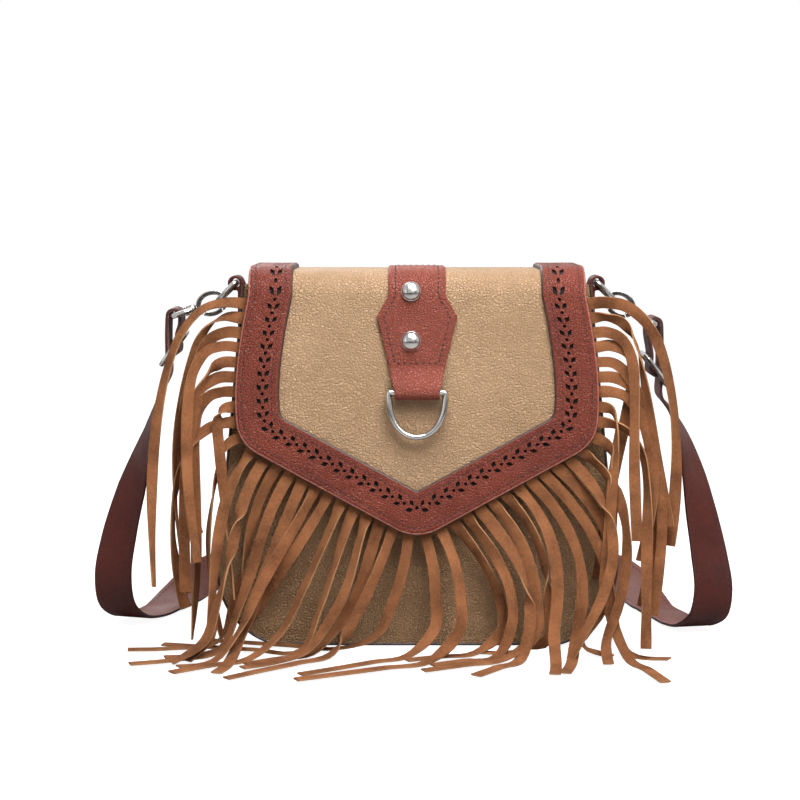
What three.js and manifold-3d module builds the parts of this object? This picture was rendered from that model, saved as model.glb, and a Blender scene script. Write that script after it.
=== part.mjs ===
// A small crossbody bag with a pointed leather flap and a long suede fringe.
// Millimetres, +Z up, +X to the right as seen from the front, which faces -Y.
// The origin is the middle of the base, on the surface that the bag stands on.
import * as THREE from 'three';
import { mergeVertices } from 'three/addons/utils/BufferGeometryUtils.js';
import Module from 'manifold-3d';

const wasm = await Module();
wasm.setup();

// Pouch
const bagHeight = 172;
const topHalfWidth = 82;
const lowHalfWidth = 98;
const cornerRadius = 36;
const topHalfDepth = 26;
const lowHalfDepth = 37;
const panelBulge = 3;
const leather = 1.6;
const seamGap = 0.3;
const liningCloth = 0.8;
const liningRoom = 0.7;

// Flap: its layers are stacked outward from the cloth side
const flapHingeHeight = bagHeight - 8;
const flapClearance = 2.2;
const frontClearance = 5.2;
const backBend = 8;
const frontBend = 9;
const flapLean = 5 * Math.PI / 180;
const tipHeight = 55;
const flapTopHalf = 79;
const flapWideHalf = 85;
const shoulderHeight = 104;
const shoulderRadius = 17;
const tipRadius = 20;
const tipSlope = 28.6 * Math.PI / 180;
const layerGap = 0.3;
const flapCloth = 0.8;
const fringeThick = 1.0;
const flapLeather = 1.4;
const backingThick = 0.5;
const borderThick = 1.2;
const borderWidth = 20.5;

// Cut-outs of the border
const rowInset = 12.6;
const cutPitch = 6.4;
const dotRadius = 0.85;
const leafHalfLong = 1.9;
const leafHalfWide = 1.1;
const leafOut = 1.75;
const leafTurn = 38 * Math.PI / 180;

// Centre tab with its ring and rivets
const tabTopHalf = 13.5;
const tabWideHalf = 19;
const tabEndHalf = 13.4;
const tabWideHeight = bagHeight - 15;
const tabEndHeight = bagHeight - 38;
const loopHeight = tabEndHeight - 12.5;
const loopHalf = 10.6;
const loopInner = 2.2;
const tabThick = 1.4;
const tabOverTop = 22;
const tailShare = 0.5;
const rivetRadius = 4.7;
const rivetHeights = [tabWideHeight + 11, tabEndHeight + 11.5];
const rivetOffset = -2.8;
const ringWire = 1.55;
const ringHalf = 13;
const ringDrop = 21;

// Magnetic snap behind the tab
const snapHeight = loopHeight - 13.5;
const snapRadius = 7;
const snapThick = 1.0;

// Fringe
const stripWidth = 5.3;
const stripPitch = 6.9;
const stripSteps = [0.5, 0.6, 0.8, 1, 1.2, 1.3, 1.3, 1.3];
const headerInset = 8;
const headerEdge = 2;
const floorLay = 1.5;
const flattenHeight = 30;
const sideShare = 0.42;

// Strap and its fittings
const strapWidth = 20;
const strapThick = 1.8;
const sideY = 9;
const chapeWidth = 15;
const chapeLayer = 1.4;
const chapeDrop = 26;
const chapeReach = 6.5;
const fitWire = 1.6;
const fitRoom = 0.7;
const dRingHalf = 9.8;
const dRingReach = 13;
const dRingTilt = 45 * Math.PI / 180;
const hookThick = 4;
const jawCentre = 3.1;
const jawLong = 5.7;
const jawHalf = 4;
const jawMetal = 2.4;
const jawTip = -1.2;
const gateEnd = Math.PI * 1.78;
const gateRoom = 0.5;
const stemHalf = 1.3;
const stemEnd = 17;
const bossHalf = 2.6;
const eyeBoss = 1.9;
const eyeReach = 22;
const eyeHalf = 12.2;
const hookTiltRight = 30 * Math.PI / 180;
const hookTiltLeft = 18 * Math.PI / 180;
const sliderBar = 1.3;
const sliderHalf = 12;
const sliderPitch = 9;
const sliderTilt = 36 * Math.PI / 180;
const sliderDropRight = 26;
const sliderDropLeft = 20;
const loopRoom = 0.5;

const vec = (x, y, z) => new THREE.Vector3(x, y, z);
const mix = THREE.MathUtils.lerp;
const smooth = (t) => THREE.MathUtils.smoothstep(t, 0, 1);

// Colours of the leathers, cloth and metal
function finish(color, roughness, metalness = 0) {
  return new THREE.MeshStandardMaterial({ color, roughness, metalness });
}
const beigeLeather = finish(0xbc9a73, 0.55);
const rustLeather = finish(0x92493c, 0.5);
const strapLeather = finish(0x5b2c28, 0.5);
const camelSuede = finish(0xa87650, 0.95);
const darkCloth = finish(0x1d1716, 0.9);
const polishedNickel = finish(0xd9d9dc, 0.15, 1);

const bag = new THREE.Group();
const joinDistance = 1e-3;

// Keeps the positions only, joins shared corners and turns the faces outward.
function closed(geometry) {
  geometry.deleteAttribute('normal');
  geometry.deleteAttribute('uv');
  const merged = mergeVertices(geometry, joinDistance);
  const position = merged.getAttribute('position');
  const index = merged.index.array;
  const a = vec();
  const b = vec();
  const c = vec();
  const kept = [];
  let volume = 0;
  for (let i = 0; i < index.length; i += 3) {
    const [p, q, r] = [index[i], index[i + 1], index[i + 2]];
    if (p === q || q === r || r === p) continue;
    a.fromBufferAttribute(position, p);
    b.fromBufferAttribute(position, q);
    c.fromBufferAttribute(position, r);
    volume += a.dot(b.cross(c));
    kept.push(p, q, r);
  }
  if (volume < 0) {
    for (let i = 0; i < kept.length; i += 3) {
      [kept[i], kept[i + 1]] = [kept[i + 1], kept[i]];
    }
  }
  merged.setIndex(kept);
  return merged;
}

function solidOf(geometry) {
  const shape = closed(geometry);
  return new wasm.Manifold(new wasm.Mesh({
    numProp: 3,
    vertProperties: new Float32Array(shape.getAttribute('position').array),
    triVerts: new Uint32Array(shape.index.array),
  }));
}

function geometryOf(solid) {
  const mesh = solid.getMesh();
  const geometry = new THREE.BufferGeometry();
  const corners = new Float32Array(mesh.vertProperties);
  geometry.setAttribute('position', new THREE.BufferAttribute(corners, 3));
  geometry.setIndex(Array.from(mesh.triVerts));
  return geometry;
}

function add(name, geometry, material) {
  const mesh = new THREE.Mesh(geometry, material);
  mesh.name = name;
  bag.add(mesh);
  return mesh;
}

// A sheet with a thickness: across runs -1 to 1, along and through run 0 to 1.
function sheet(acrossSteps, alongSteps, place) {
  const box = new THREE.BoxGeometry(2, 1, 1, acrossSteps, alongSteps, 1);
  const position = box.getAttribute('position');
  for (let i = 0; i < position.count; i++) {
    const point = place(position.getX(i), position.getY(i) + 0.5, position.getZ(i) + 0.5);
    position.setXYZ(i, point.x, point.y, point.z);
  }
  return closed(box);
}

// The directions across and through a band at each point of its line
function bandFrames(points, widths, sign) {
  const last = points.length - 1;
  return points.map((point, i) => {
    const [before, after] = [points[Math.max(i - 1, 0)], points[Math.min(i + 1, last)]];
    const along = vec().subVectors(after, before).normalize();
    const across = widths[i].clone().addScaledVector(along, -widths[i].dot(along)).normalize();
    return { point, across, through: vec().crossVectors(along, across).multiplyScalar(sign) };
  });
}

// A band that follows a line of points, with a width direction at each of them.
function band(points, widths, width, thick) {
  const frames = bandFrames(points, widths, 1);
  const last = points.length - 1;
  return sheet(1, last, (u, v, w) => {
    const { point, across, through } = frames[Math.round(v * last)];
    const spot = point.clone().addScaledVector(across, u * width / 2);
    return spot.addScaledVector(through, (w - 0.5) * thick);
  });
}

// A wire loop that closes on itself, lying in the plane of its points.
function wireLoop(points, normal, radius, sides = 6) {
  const count = points.length;
  const vertices = [];
  const index = [];
  points.forEach((point, i) => {
    const before = points[(i + count - 1) % count];
    const after = points[(i + 1) % count];
    const along = vec().subVectors(after, before).normalize();
    const outward = vec().crossVectors(along, normal).normalize();
    for (let k = 0; k < sides; k++) {
      const turn = 2 * Math.PI * k / sides;
      const spot = point.clone().addScaledVector(outward, radius * Math.cos(turn));
      spot.addScaledVector(normal, radius * Math.sin(turn));
      vertices.push(spot.x, spot.y, spot.z);
      const next = (k + 1) % sides;
      const here = i * sides;
      const there = ((i + 1) % count) * sides;
      index.push(here + k, there + k, there + next, here + k, there + next, here + next);
    }
  });
  const geometry = new THREE.BufferGeometry();
  geometry.setAttribute('position', new THREE.Float32BufferAttribute(vertices, 3));
  geometry.setIndex(index);
  return closed(geometry);
}

// Pouch: half width and half depth at a height, drawn in by an inset
function halfWidth(z, inset = 0) {
  const side = mix(lowHalfWidth, topHalfWidth, z / bagHeight) - inset;
  const radius = cornerRadius - inset;
  const rise = radius - (z - inset);
  if (rise <= 0) return side;
  const cornerX = mix(lowHalfWidth, topHalfWidth, cornerRadius / bagHeight) - cornerRadius;
  return Math.min(side, cornerX + Math.sqrt(Math.max(radius * radius - rise * rise, 0)));
}
const halfDepth = (z) => mix(lowHalfDepth, topHalfDepth, z / bagHeight);

const panelFace = (u, z) => halfDepth(z) + panelBulge * (1 - u * u) * Math.sin(Math.PI * z / bagHeight);

const panelRows = [0.5, 2.5, 7, 14, 24, 38, 60, 90, 120, 148, bagHeight];
function pouchPanel(facing) {
  const last = panelRows.length - 1;
  return sheet(8, last, (u, v, w) => {
    const z = panelRows[Math.round(v * last)];
    return vec(u * halfWidth(z), facing * (panelFace(u, z) - leather * (1 - w)), z);
  });
}
add('front_panel', pouchPanel(-1), beigeLeather);
add('back_panel', pouchPanel(1), beigeLeather);

// The gusset runs down one side, under the base and up the other side.
function gussetLine() {
  const line = [];
  for (let i = 0; i <= 5; i++) {
    const z = mix(bagHeight, cornerRadius, i / 5);
    line.push({ x: mix(lowHalfWidth, topHalfWidth, z / bagHeight), z, turn: 0 });
  }
  const middle = line[line.length - 1].x - cornerRadius;
  for (let i = 1; i <= 9; i++) {
    const turn = Math.PI / 2 * i / 9;
    line.push({ x: middle + cornerRadius * Math.cos(turn), z: cornerRadius * (1 - Math.sin(turn)), turn });
  }
  line.push({ x: middle / 2, z: 0, turn: Math.PI / 2 });
  const mirrored = line.slice().reverse().map(({ x, z, turn }) => ({ x: -x, z, turn: Math.PI - turn }));
  return [...line, ...mirrored];
}
function gusset() {
  const line = gussetLine();
  const last = line.length - 1;
  return sheet(2, last, (u, v, w) => {
    const { x, z, turn } = line[Math.round(v * last)];
    const depth = halfDepth(z) - leather - seamGap;
    return vec(x - Math.cos(turn) * leather * w, u * depth, z + Math.sin(turn) * leather * w);
  });
}
add('gusset', gusset(), beigeLeather);

// The lining is an open-topped cloth bag, shaped from a turned cup profile.
function liningBag() {
  const outerInset = leather + liningRoom;
  const innerInset = outerInset + liningCloth;
  const heights = [5, 10, 18, 28, 45, 100, bagHeight - 2];
  const profile = [new THREE.Vector2(0, outerInset)];
  profile.push(new THREE.Vector2(1, outerInset + 0.4));
  heights.forEach((z) => profile.push(new THREE.Vector2(1, z)));
  heights.slice().reverse().forEach((z) => profile.push(new THREE.Vector2(2, z)));
  profile.push(new THREE.Vector2(2, innerInset + 0.4));
  profile.push(new THREE.Vector2(0, innerInset));
  const cup = new THREE.LatheGeometry(profile, 16);
  const position = cup.getAttribute('position');
  const squareness = 1 / 3;
  for (let i = 0; i < position.count; i++) {
    const [sx, z, sz] = [position.getX(i), position.getY(i), position.getZ(i)];
    const layer = Math.hypot(sx, sz);
    if (layer < 0.5) {
      position.setXYZ(i, 0, 0, z);
      continue;
    }
    const inset = layer < 1.5 ? outerInset : innerInset;
    const [c, s] = [sx / layer, sz / layer];
    const x = halfWidth(z, inset) * Math.sign(c) * Math.abs(c) ** squareness;
    const y = (halfDepth(z) - inset) * Math.sign(s) * Math.abs(s) ** squareness;
    position.setXYZ(i, x, y, z);
  }
  return closed(cup);
}
add('lining', liningBag(), darkCloth);

// Flap profile: from the hinge up the back, over the top and down the front
const hingeY = topHalfDepth + flapClearance;
const frontTopY = -(topHalfDepth + frontClearance);
const topRun = hingeY - backBend - (frontTopY + frontBend);
const backRise = 3;
const backArc = backBend * Math.PI / 2;
const frontArc = frontBend * (Math.PI / 2 - flapLean);
const frontStart = backRise + backArc + topRun + frontArc;
const flapTopZ = flapHingeHeight + backRise + backBend;
const frontTopZ = flapTopZ - frontBend + frontBend * Math.sin(flapLean);

function flapFrame(s) {
  if (s < backRise) return { y: hingeY, z: flapHingeHeight + s, ny: 1, nz: 0 };
  if (s < backRise + backArc) {
    const turn = (s - backRise) / backBend;
    const [ny, nz] = [Math.cos(turn), Math.sin(turn)];
    return { y: hingeY - backBend + backBend * ny, z: flapTopZ - backBend + backBend * nz, ny, nz };
  }
  if (s < backRise + backArc + topRun) {
    return { y: hingeY - backBend - (s - backRise - backArc), z: flapTopZ, ny: 0, nz: 1 };
  }
  const bendY = frontTopY + frontBend;
  const turn = Math.min((s - backRise - backArc - topRun) / frontBend, Math.PI / 2 - flapLean);
  const [ny, nz] = [-Math.sin(turn), Math.cos(turn)];
  const beyond = Math.max(s - frontStart, 0);
  return {
    y: bendY + frontBend * ny - beyond * Math.sin(flapLean),
    z: flapTopZ - frontBend + frontBend * nz - beyond * Math.cos(flapLean),
    ny,
    nz,
  };
}
function onFlap(x, s, rise) {
  const { y, z, ny, nz } = flapFrame(s);
  return vec(x, y + ny * rise, z + nz * rise);
}
const reachOf = (z) => frontStart + (frontTopZ - z) / Math.cos(flapLean);

// Layers of the flap, as distances from its cloth face
const headerRise = flapCloth + layerGap;
const panelRise = headerRise + fringeThick + layerGap;
const backingRise = panelRise + flapLeather + layerGap;
const borderRise = backingRise + backingThick + layerGap;

// Right half of the flap's outline, top to tip, drawn in by an inset
function flapEdge(inset, sideStart = 0) {
  const points = [];
  const shoulder = reachOf(shoulderHeight);
  const wide = flapWideHalf - inset;
  const top = flapTopHalf - inset;
  const roundness = Math.max(tipRadius - inset, 1.2);
  const tipCentre = reachOf(tipHeight) - inset - roundness;
  const [slopeX, slopeS] = [Math.sin(tipSlope), Math.cos(tipSlope)];
  const tangentX = roundness * slopeX;
  const tangentS = tipCentre + roundness * slopeS;
  const crossing = tangentS - (wide - tangentX) * Math.tan(tipSlope);
  const fillet = Math.max(shoulderRadius - inset, 3) * Math.tan((Math.PI / 2 - tipSlope) / 2) + 2;
  const sideEnd = crossing - fillet;
  const bends = [0, backRise, ...[1, 2, 3].map((k) => backRise + backArc * k / 3)];
  bends.push(...[0, 1, 2, 3, 4].map((k) => frontStart - frontArc * (1 - k / 4)));
  bends.filter((s) => s >= sideStart).forEach((s) => points.push([top, s]));
  const bulgeTop = [top, frontStart];
  const bulgeBend = [wide + 1.5, mix(frontStart, shoulder, 0.55)];
  for (let k = 1; k <= 5; k++) {
    const t = k / 5;
    const [p, q, r] = [(1 - t) * (1 - t), 2 * t * (1 - t), t * t];
    points.push([
      p * bulgeTop[0] + q * bulgeBend[0] + r * wide,
      p * bulgeTop[1] + q * bulgeBend[1] + r * sideEnd,
    ]);
  }
  const slopeEnd = [wide - fillet * Math.cos(tipSlope), crossing + fillet * Math.sin(tipSlope)];
  for (let k = 1; k <= 4; k++) {
    const t = k / 4;
    const [p, q, r] = [(1 - t) * (1 - t), 2 * t * (1 - t), t * t];
    points.push([p * wide + q * wide + r * slopeEnd[0], p * sideEnd + q * crossing + r * slopeEnd[1]]);
  }
  for (let k = 1; k <= 4; k++) {
    points.push([mix(slopeEnd[0], tangentX, k / 4), mix(slopeEnd[1], tangentS, k / 4)]);
  }
  for (let k = 1; k <= 5; k++) {
    const turn = tipSlope * (1 - k / 5.4);
    points.push([roundness * Math.sin(turn), tipCentre + roundness * Math.cos(turn)]);
  }
  return points;
}

function flapLayer(inset, rise, thick) {
  const edge = flapEdge(inset);
  const last = edge.length - 1;
  return sheet(2, last, (u, v, w) => {
    const [x, s] = edge[Math.round(v * last)];
    return onFlap(u * x, s, rise + w * thick);
  });
}
add('flap_lining', flapLayer(2.5, 0, flapCloth), darkCloth);
add('flap_panel', flapLayer(0.6, panelRise, flapLeather), beigeLeather);

// A band round the flap between two insets of its outline
function flapBand(outerInset, innerInset, rise, thick) {
  const [outer, inner] = [flapEdge(outerInset), flapEdge(innerInset)];
  const whole = (edge, inset) => {
    const tip = [0, reachOf(tipHeight) - inset];
    return [...edge, tip, ...edge.slice().reverse().map(([x, s]) => [-x, s])];
  };
  const [far, near] = [whole(outer, outerInset), whole(inner, innerInset)];
  const last = far.length - 1;
  return sheet(1, last, (u, v, w) => {
    const i = Math.round(v * last);
    const t = (u + 1) / 2;
    const [x, s] = [mix(far[i][0], near[i][0], t), mix(far[i][1], near[i][1], t)];
    return onFlap(x, s, rise + w * thick);
  });
}
add('border_backing', flapBand(2, borderWidth - 1.5, backingRise, backingThick), darkCloth);

// A row of cut-outs in the border: dots, and pairs of leaves that open away from the tip
function cutOut(outline, { x, s, turn }) {
  const [c, d] = [Math.cos(turn), Math.sin(turn)];
  const corners = outline.map(([a, b]) => new THREE.Vector2(x + a * c - b * d, s + a * d + b * c));
  const shape = new THREE.Shape(corners);
  const prism = new THREE.ExtrudeGeometry(shape, { depth: borderThick + 1, bevelEnabled: false });
  const position = prism.getAttribute('position');
  for (let i = 0; i < position.count; i++) {
    const spot = onFlap(position.getX(i), position.getY(i), borderRise - 0.5 + position.getZ(i));
    position.setXYZ(i, spot.x, spot.y, spot.z);
  }
  return solidOf(prism);
}
function cutOuts() {
  const share = rowInset / borderWidth;
  const [outer, inner] = [flapEdge(0, frontStart), flapEdge(borderWidth, frontStart)];
  const line = outer.map(([x, s], i) => {
    return new THREE.Vector2(mix(x, inner[i][0], share), mix(s, inner[i][1], share));
  });
  line.push(new THREE.Vector2(0, reachOf(tipHeight) - rowInset));
  line.reverse();
  const dot = Array.from({ length: 5 }, (_, k) => {
    return [dotRadius * Math.cos(0.4 * Math.PI * k), dotRadius * Math.sin(0.4 * Math.PI * k)];
  });
  const leaf = [[leafHalfLong, 0], [0, leafHalfWide], [-leafHalfLong, 0], [0, -leafHalfWide]];
  const cuts = [cutOut(dot, { x: 0, s: line[0].y, turn: 0 })];
  let [run, from] = [0, 0];
  for (let half = 1; ; half++) {
    const wanted = half * cutPitch / 2;
    while (from < line.length - 1 && run + line[from].distanceTo(line[from + 1]) < wanted) {
      run += line[from].distanceTo(line[from + 1]);
      from += 1;
    }
    if (from >= line.length - 1) return cuts;
    const way = line[from + 1].clone().sub(line[from]).normalize();
    const spot = line[from].clone().addScaledVector(way, wanted - run);
    if (spot.y < frontStart + cutPitch / 2) return cuts;
    for (const side of [1, -1]) {
      const turn = Math.atan2(way.y, side * way.x);
      if (half % 2 === 0) {
        cuts.push(cutOut(dot, { x: side * spot.x, s: spot.y, turn }));
        continue;
      }
      for (const lift of [1, -1]) {
        cuts.push(cutOut(leaf, {
          x: side * (spot.x - lift * leafOut * way.y),
          s: spot.y + lift * leafOut * way.x,
          turn: turn + side * lift * leafTurn,
        }));
      }
    }
  }
}
const wholeBorder = solidOf(flapBand(0, borderWidth, borderRise, borderThick));
const cutBorder = cutOuts().reduce((left, cut) => left.subtract(cut), wholeBorder);
add('flap_border', geometryOf(cutBorder), rustLeather);

// Centre tab: a shaped strip that ends in a loop round the ring's bar
const loopBarRise = backingRise + tabThick + loopInner + 0.2;
function centreTab() {
  const rows = [];
  const row = (s, low, half) => {
    rows.push({ half, low: onFlap(0, s, low), high: onFlap(0, s, low + tabThick) });
  };
  const flat = (s, half) => row(s, backingRise, half);
  flat(frontStart - frontArc - tabOverTop, tabTopHalf);
  [0, 1, 2, 3, 4].forEach((k) => flat(frontStart - frontArc * (1 - k / 4), tabTopHalf));
  flat(reachOf(tabWideHeight), tabWideHalf);
  const lift = reachOf(tabEndHeight);
  flat(lift, tabEndHalf);
  const bar = reachOf(loopHeight);
  const rise = loopBarRise + loopInner - backingRise;
  for (let k = 1; k <= 3; k++) {
    const low = backingRise + rise * smooth(k / 4);
    row(mix(lift, bar, k / 4), low, mix(tabEndHalf, loopHalf, k / 4));
  }
  for (let k = 0; k <= 6; k++) {
    const turn = Math.PI / 2 - Math.PI * k / 6;
    const spot = (radius) => {
      return onFlap(0, bar + radius * Math.cos(turn), loopBarRise + radius * Math.sin(turn));
    };
    rows.push({ half: loopHalf, low: spot(loopInner), high: spot(loopInner + tabThick) });
  }
  const tail = (rise) => onFlap(0, mix(bar, lift, tailShare), rise);
  const under = loopBarRise - loopInner;
  rows.push({ half: loopHalf, low: tail(under), high: tail(under - tabThick) });
  const last = rows.length - 1;
  return sheet(1, last, (u, v, w) => {
    const { half, low: inside, high: outside } = rows[Math.round(v * last)];
    const spot = vec().lerpVectors(inside, outside, w);
    spot.x += u * half;
    return spot;
  });
}
add('flap_tab', centreTab(), rustLeather);

// Domed rivets through the tab
function rivet() {
  const dome = [];
  for (let k = 0; k <= 4; k++) {
    const turn = Math.PI / 2 * k / 4;
    dome.push(new THREE.Vector2(rivetRadius * Math.cos(turn), 0.6 + 2.6 * Math.sin(turn)));
  }
  const profile = [new THREE.Vector2(0, 0), new THREE.Vector2(rivetRadius, 0), ...dome.slice(0, 4)];
  profile.push(new THREE.Vector2(0, dome[4].y));
  return closed(new THREE.LatheGeometry(profile, 12));
}
['rivet_upper', 'rivet_lower'].forEach((name, i) => {
  const mesh = add(name, rivet(), polishedNickel);
  const spot = onFlap(rivetOffset, reachOf(rivetHeights[i]), backingRise + tabThick + layerGap);
  mesh.position.copy(spot);
  mesh.rotation.x = Math.PI - flapLean;
});

// A closed D shape: a straight bar and a rounded bow, in the plane of two directions
function dShape(centre, across, outward, half, reach, steps) {
  const points = [];
  for (let k = 0; k <= steps; k++) {
    const turn = Math.PI * k / steps;
    const bow = reach * Math.sin(turn) ** 0.8;
    points.push(centre.clone().addScaledVector(across, half * Math.cos(turn)).addScaledVector(outward, bow));
  }
  points.push(centre.clone().addScaledVector(across, -half / 3));
  points.push(centre.clone().addScaledVector(across, half / 3));
  return points;
}
const ringBar = onFlap(0, reachOf(loopHeight), loopBarRise);
const downFlap = vec(0, -Math.sin(flapLean), -Math.cos(flapLean));
const ringDown = vec(0, -Math.sin(flapLean * 1.2), -Math.cos(flapLean * 1.2));
const ringNormal = vec().crossVectors(vec(1, 0, 0), ringDown).normalize();
const frontRing = dShape(ringBar, vec(1, 0, 0), ringDown, ringHalf, ringDrop, 12);
add('front_ring', wireLoop(frontRing, ringNormal, ringWire, 8), polishedNickel);

// Magnetic snap: one half on the front panel, the other under the flap
function snapDisc(name, spot) {
  const disc = new THREE.CylinderGeometry(snapRadius, snapRadius, snapThick, 16);
  const mesh = add(name, closed(disc), polishedNickel);
  mesh.position.copy(spot);
  mesh.rotation.x = -flapLean;
}
const snapOut = snapThick / 2 + layerGap;
snapDisc('snap_flap_half', onFlap(0, reachOf(snapHeight), -snapOut));
snapDisc('snap_body_half', vec(0, -panelFace(0, snapHeight) - snapOut, snapHeight));

// Fringe: one length of suede, cut into strips, sewn under the flap's edge
const down = vec(0, 0, -1);
const wave = (i, step) => Math.sin(i * step * 2.399 + step);
const inTurn = (number) => [1, -0.2, 0.5, -1][number % 4];
const turnedFlat = (way, angle) => way.clone().applyAxisAngle(vec(0, 0, 1), angle);
function stripSections({ spot: root, tangent, outward }, { length, stiff, lean, faceTo, floorWay }) {
  const onFace = ({ x, y }) => vec(x, y * downFlap.y, y * downFlap.z);
  const [heading, edgeway] = [onFace(outward), onFace(tangent)];
  const spot = onFlap(root.x, root.y, headerRise + fringeThick / 2).addScaledVector(heading, headerEdge + 1);
  const points = [spot.clone()];
  const widths = [edgeway.clone()];
  const unit = length / stripSteps.reduce((sum, share) => sum + share);
  let done = 0;
  for (const share of stripSteps) {
    const step = share * unit;
    const run = done + step / 2;
    done += step;
    const fall = 1 - Math.exp(-((run / stiff) ** 1.6));
    const along = heading.clone().multiplyScalar(1 - fall).addScaledVector(down, fall);
    along.add(lean(run / length)).normalize();
    const room = spot.z - floorLay;
    if (room + along.z * step < 0) {
      const sink = Math.max(-room / step, -0.98);
      along.z = 0;
      along.addScaledVector(floorWay, 1).normalize().multiplyScalar(Math.sqrt(1 - sink * sink));
      along.z = sink;
    }
    spot.addScaledVector(along, step);
    points.push(spot.clone());
    const across = vec().lerpVectors(edgeway, faceTo, smooth(run / (stiff * 2.2)));
    const level = vec(-along.y, along.x, 0).normalize();
    if (level.dot(across) < 0) level.negate();
    widths.push(across.lerp(level, 1 - smooth((spot.z - floorLay) / flattenHeight)));
  }
  return bandFrames(points, widths, vec().crossVectors(heading, edgeway).y > 0 ? -1 : 1);
}

// The line that the header follows: down the right half of the flap, round the tip and up
// the left half, with the distance run at each point.
function headerLine() {
  const half = flapEdge(headerEdge, frontStart - layerGap).map(([x, s]) => new THREE.Vector2(x, s));
  const tip = new THREE.Vector2(0, reachOf(tipHeight) - headerEdge);
  const line = [...half, tip, ...half.slice().reverse().map(({ x, y }) => new THREE.Vector2(-x, y))];
  const runs = [0];
  for (let i = 1; i < line.length; i++) runs.push(runs[i - 1] + line[i].distanceTo(line[i - 1]));
  return { line, runs, total: runs[runs.length - 1] };
}
function headerPoint({ line, runs }, run) {
  const i = Math.min(Math.max(runs.findIndex((r) => r > run), 1), runs.length - 1);
  const spot = line[i - 1].clone().lerp(line[i], (run - runs[i - 1]) / (runs[i] - runs[i - 1]));
  const tangent = line[i].clone().sub(line[i - 1]).normalize();
  return { spot, tangent, outward: new THREE.Vector2(tangent.y, -tangent.x) };
}

// Strips on the sides arch out and hang; those on the points sweep down to the floor.
function sideStrip(side, share, number) {
  const low = share / sideShare;
  const sway = 0.1 * wave(number, 3);
  return {
    length: 134 + 12 * wave(number, 2) - 12 * low,
    stiff: mix(27, 17, low) + 2 * wave(number, 1),
    lean: (t) => vec(side * (0.08 - 0.2 * t * low) + sway * Math.sin(5 * t), -0.05 - 0.1 * low, 0),
    faceTo: vec(0.5 + 0.3 * wave(number, 4), -side, 0),
    floorWay: vec(side, -0.6, 0),
  };
}
function leftFrontStrip(share, number) {
  const low = (share - sideShare) / (1 - sideShare);
  const sway = 0.16 * wave(number, 3);
  return {
    length: 140 + 12 * wave(number, 2) - 22 * low,
    stiff: mix(20, 60, smooth(low * 2.2)),
    lean: (t) => vec(-0.06 - 0.3 * low + 0.55 * low * Math.cos(4 * t) + sway * Math.sin(6 * t),
      -0.24 + 0.1 * inTurn(number), 0),
    faceTo: vec(1, 0.35 * wave(number, 5), 0),
    floorWay: vec(-1, -0.5 + 0.3 * wave(number, 4), 0),
  };
}
function rightFrontStrip(share, number) {
  const low = (share - sideShare) / (1 - sideShare);
  const sway = 0.16 * wave(number, 3);
  return {
    length: 140 + 12 * wave(number, 2) - 16 * low,
    stiff: mix(20, 40, smooth(low * 2.2)),
    lean: (t) => vec((0.5 - 0.25 * low) * Math.cos(3.4 * t) - 0.12 * low + sway * Math.sin(6 * t),
      -0.24 + 0.1 * inTurn(number), 0),
    faceTo: vec(1, -0.3 + 0.35 * wave(number, 5), 0),
    floorWay: vec(low > 0.45 ? -1 : 0.5, -0.7, 0),
  };
}

// How each strip's own lie differs, so that none runs into another: its lean to the right and
// back, the turn of its face, its length, and its turn on the floor
const ownLie = [
  [0.03, -0.01, -0.01, -0.01, 0.13], [0.2, -0.15, -0.2, -0.13, 0.07], [-0.01, -0.18, 0.1, -0.02, -0.3],
  [-0.1, 0.14, 0.37, 0.12, 0.72], [0.01, -0.12, 0.03, 0.05, 0.16], [0.03, 0.04, 0.24, 0.01, 0.35],
  [-0.02, 0.02, -0.06, -0.1, 0.37], [0, -0.05, 0.04, 0.01, 0.25], [-0.03, -0.19, 0.11, 0.07, -0.25],
  [0.08, 0.02, -0.22, 0.12, 0.01], [-0.01, -0.05, 0.07, -0.06, 0.24], [-0.06, 0, -0.21, -0.08, -0.02],
  [-0.01, 0.04, 0.58, -0.1, 1.06], [0, 0.07, 0.3, 0.07, 0.69], [0, 0, 0, 0, 0],
  [0, 0, 0, 0, 0], [0.07, -0.05, 0.17, -0.08, -0.8], [-0.01, 0, 0.18, 0, -0.12],
  [0.01, -0.14, -0.6, -0.06, 0.47], [-0.05, 0.04, -0.01, 0.01, -0.07], [0.03, 0.03, 0.21, -0.01, -0.12],
  [-0.21, -0.17, -0.14, 0.11, -0.18], [0, 0, 0, 0, 0], [-0.11, 0.01, 0.42, 0.12, -0.79],
  [-0.02, -0.03, -0.09, 0.02, 0.3], [0.01, 0.05, 0.06, -0.03, 0.74], [0.01, 0.01, -0.03, -0.02, 0.11],
  [-0.01, 0.03, 0.16, 0.12, -0.79], [0.02, 0.06, 0.16, -0.02, 0.2], [-0.05, 0.01, -0.08, -0.03, 0.02],
  [0, 0.02, 0.12, 0.01, 0.04], [0.05, -0.03, 0.06, -0.07, 1.15], [-0.08, 0.02, 0.04, -0.05, -0.1],
  [-0.1, 0.1, -0.13, 0.01, -0.39], [-0.08, -0.02, -0.25, -0.08, -0.15], [0.01, -0.06, 0.3, -0.16, 0.18],
  [-0.02, 0.14, 0.11, -0.12, 0.66], [0, 0.02, 0.06, -0.06, 0.07], [0.01, -0.01, 0.09, -0.02, 0.03],
  [0, 0.13, 0, -0.11, -0.27], [-0.06, 0.06, 0.12, 0.12, -0.46], [-0.02, -0.09, 0.13, -0.05, 0.38],
  [-0.02, -0.04, -0.14, 0.04, 0], [0.02, 0.09, 0, -0.01, 0.05], [-0.05, -0.05, -0.22, 0.12, 0.55],
  [-0.03, -0.16, 0.04, 0.12, 0.01],
];

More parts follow.
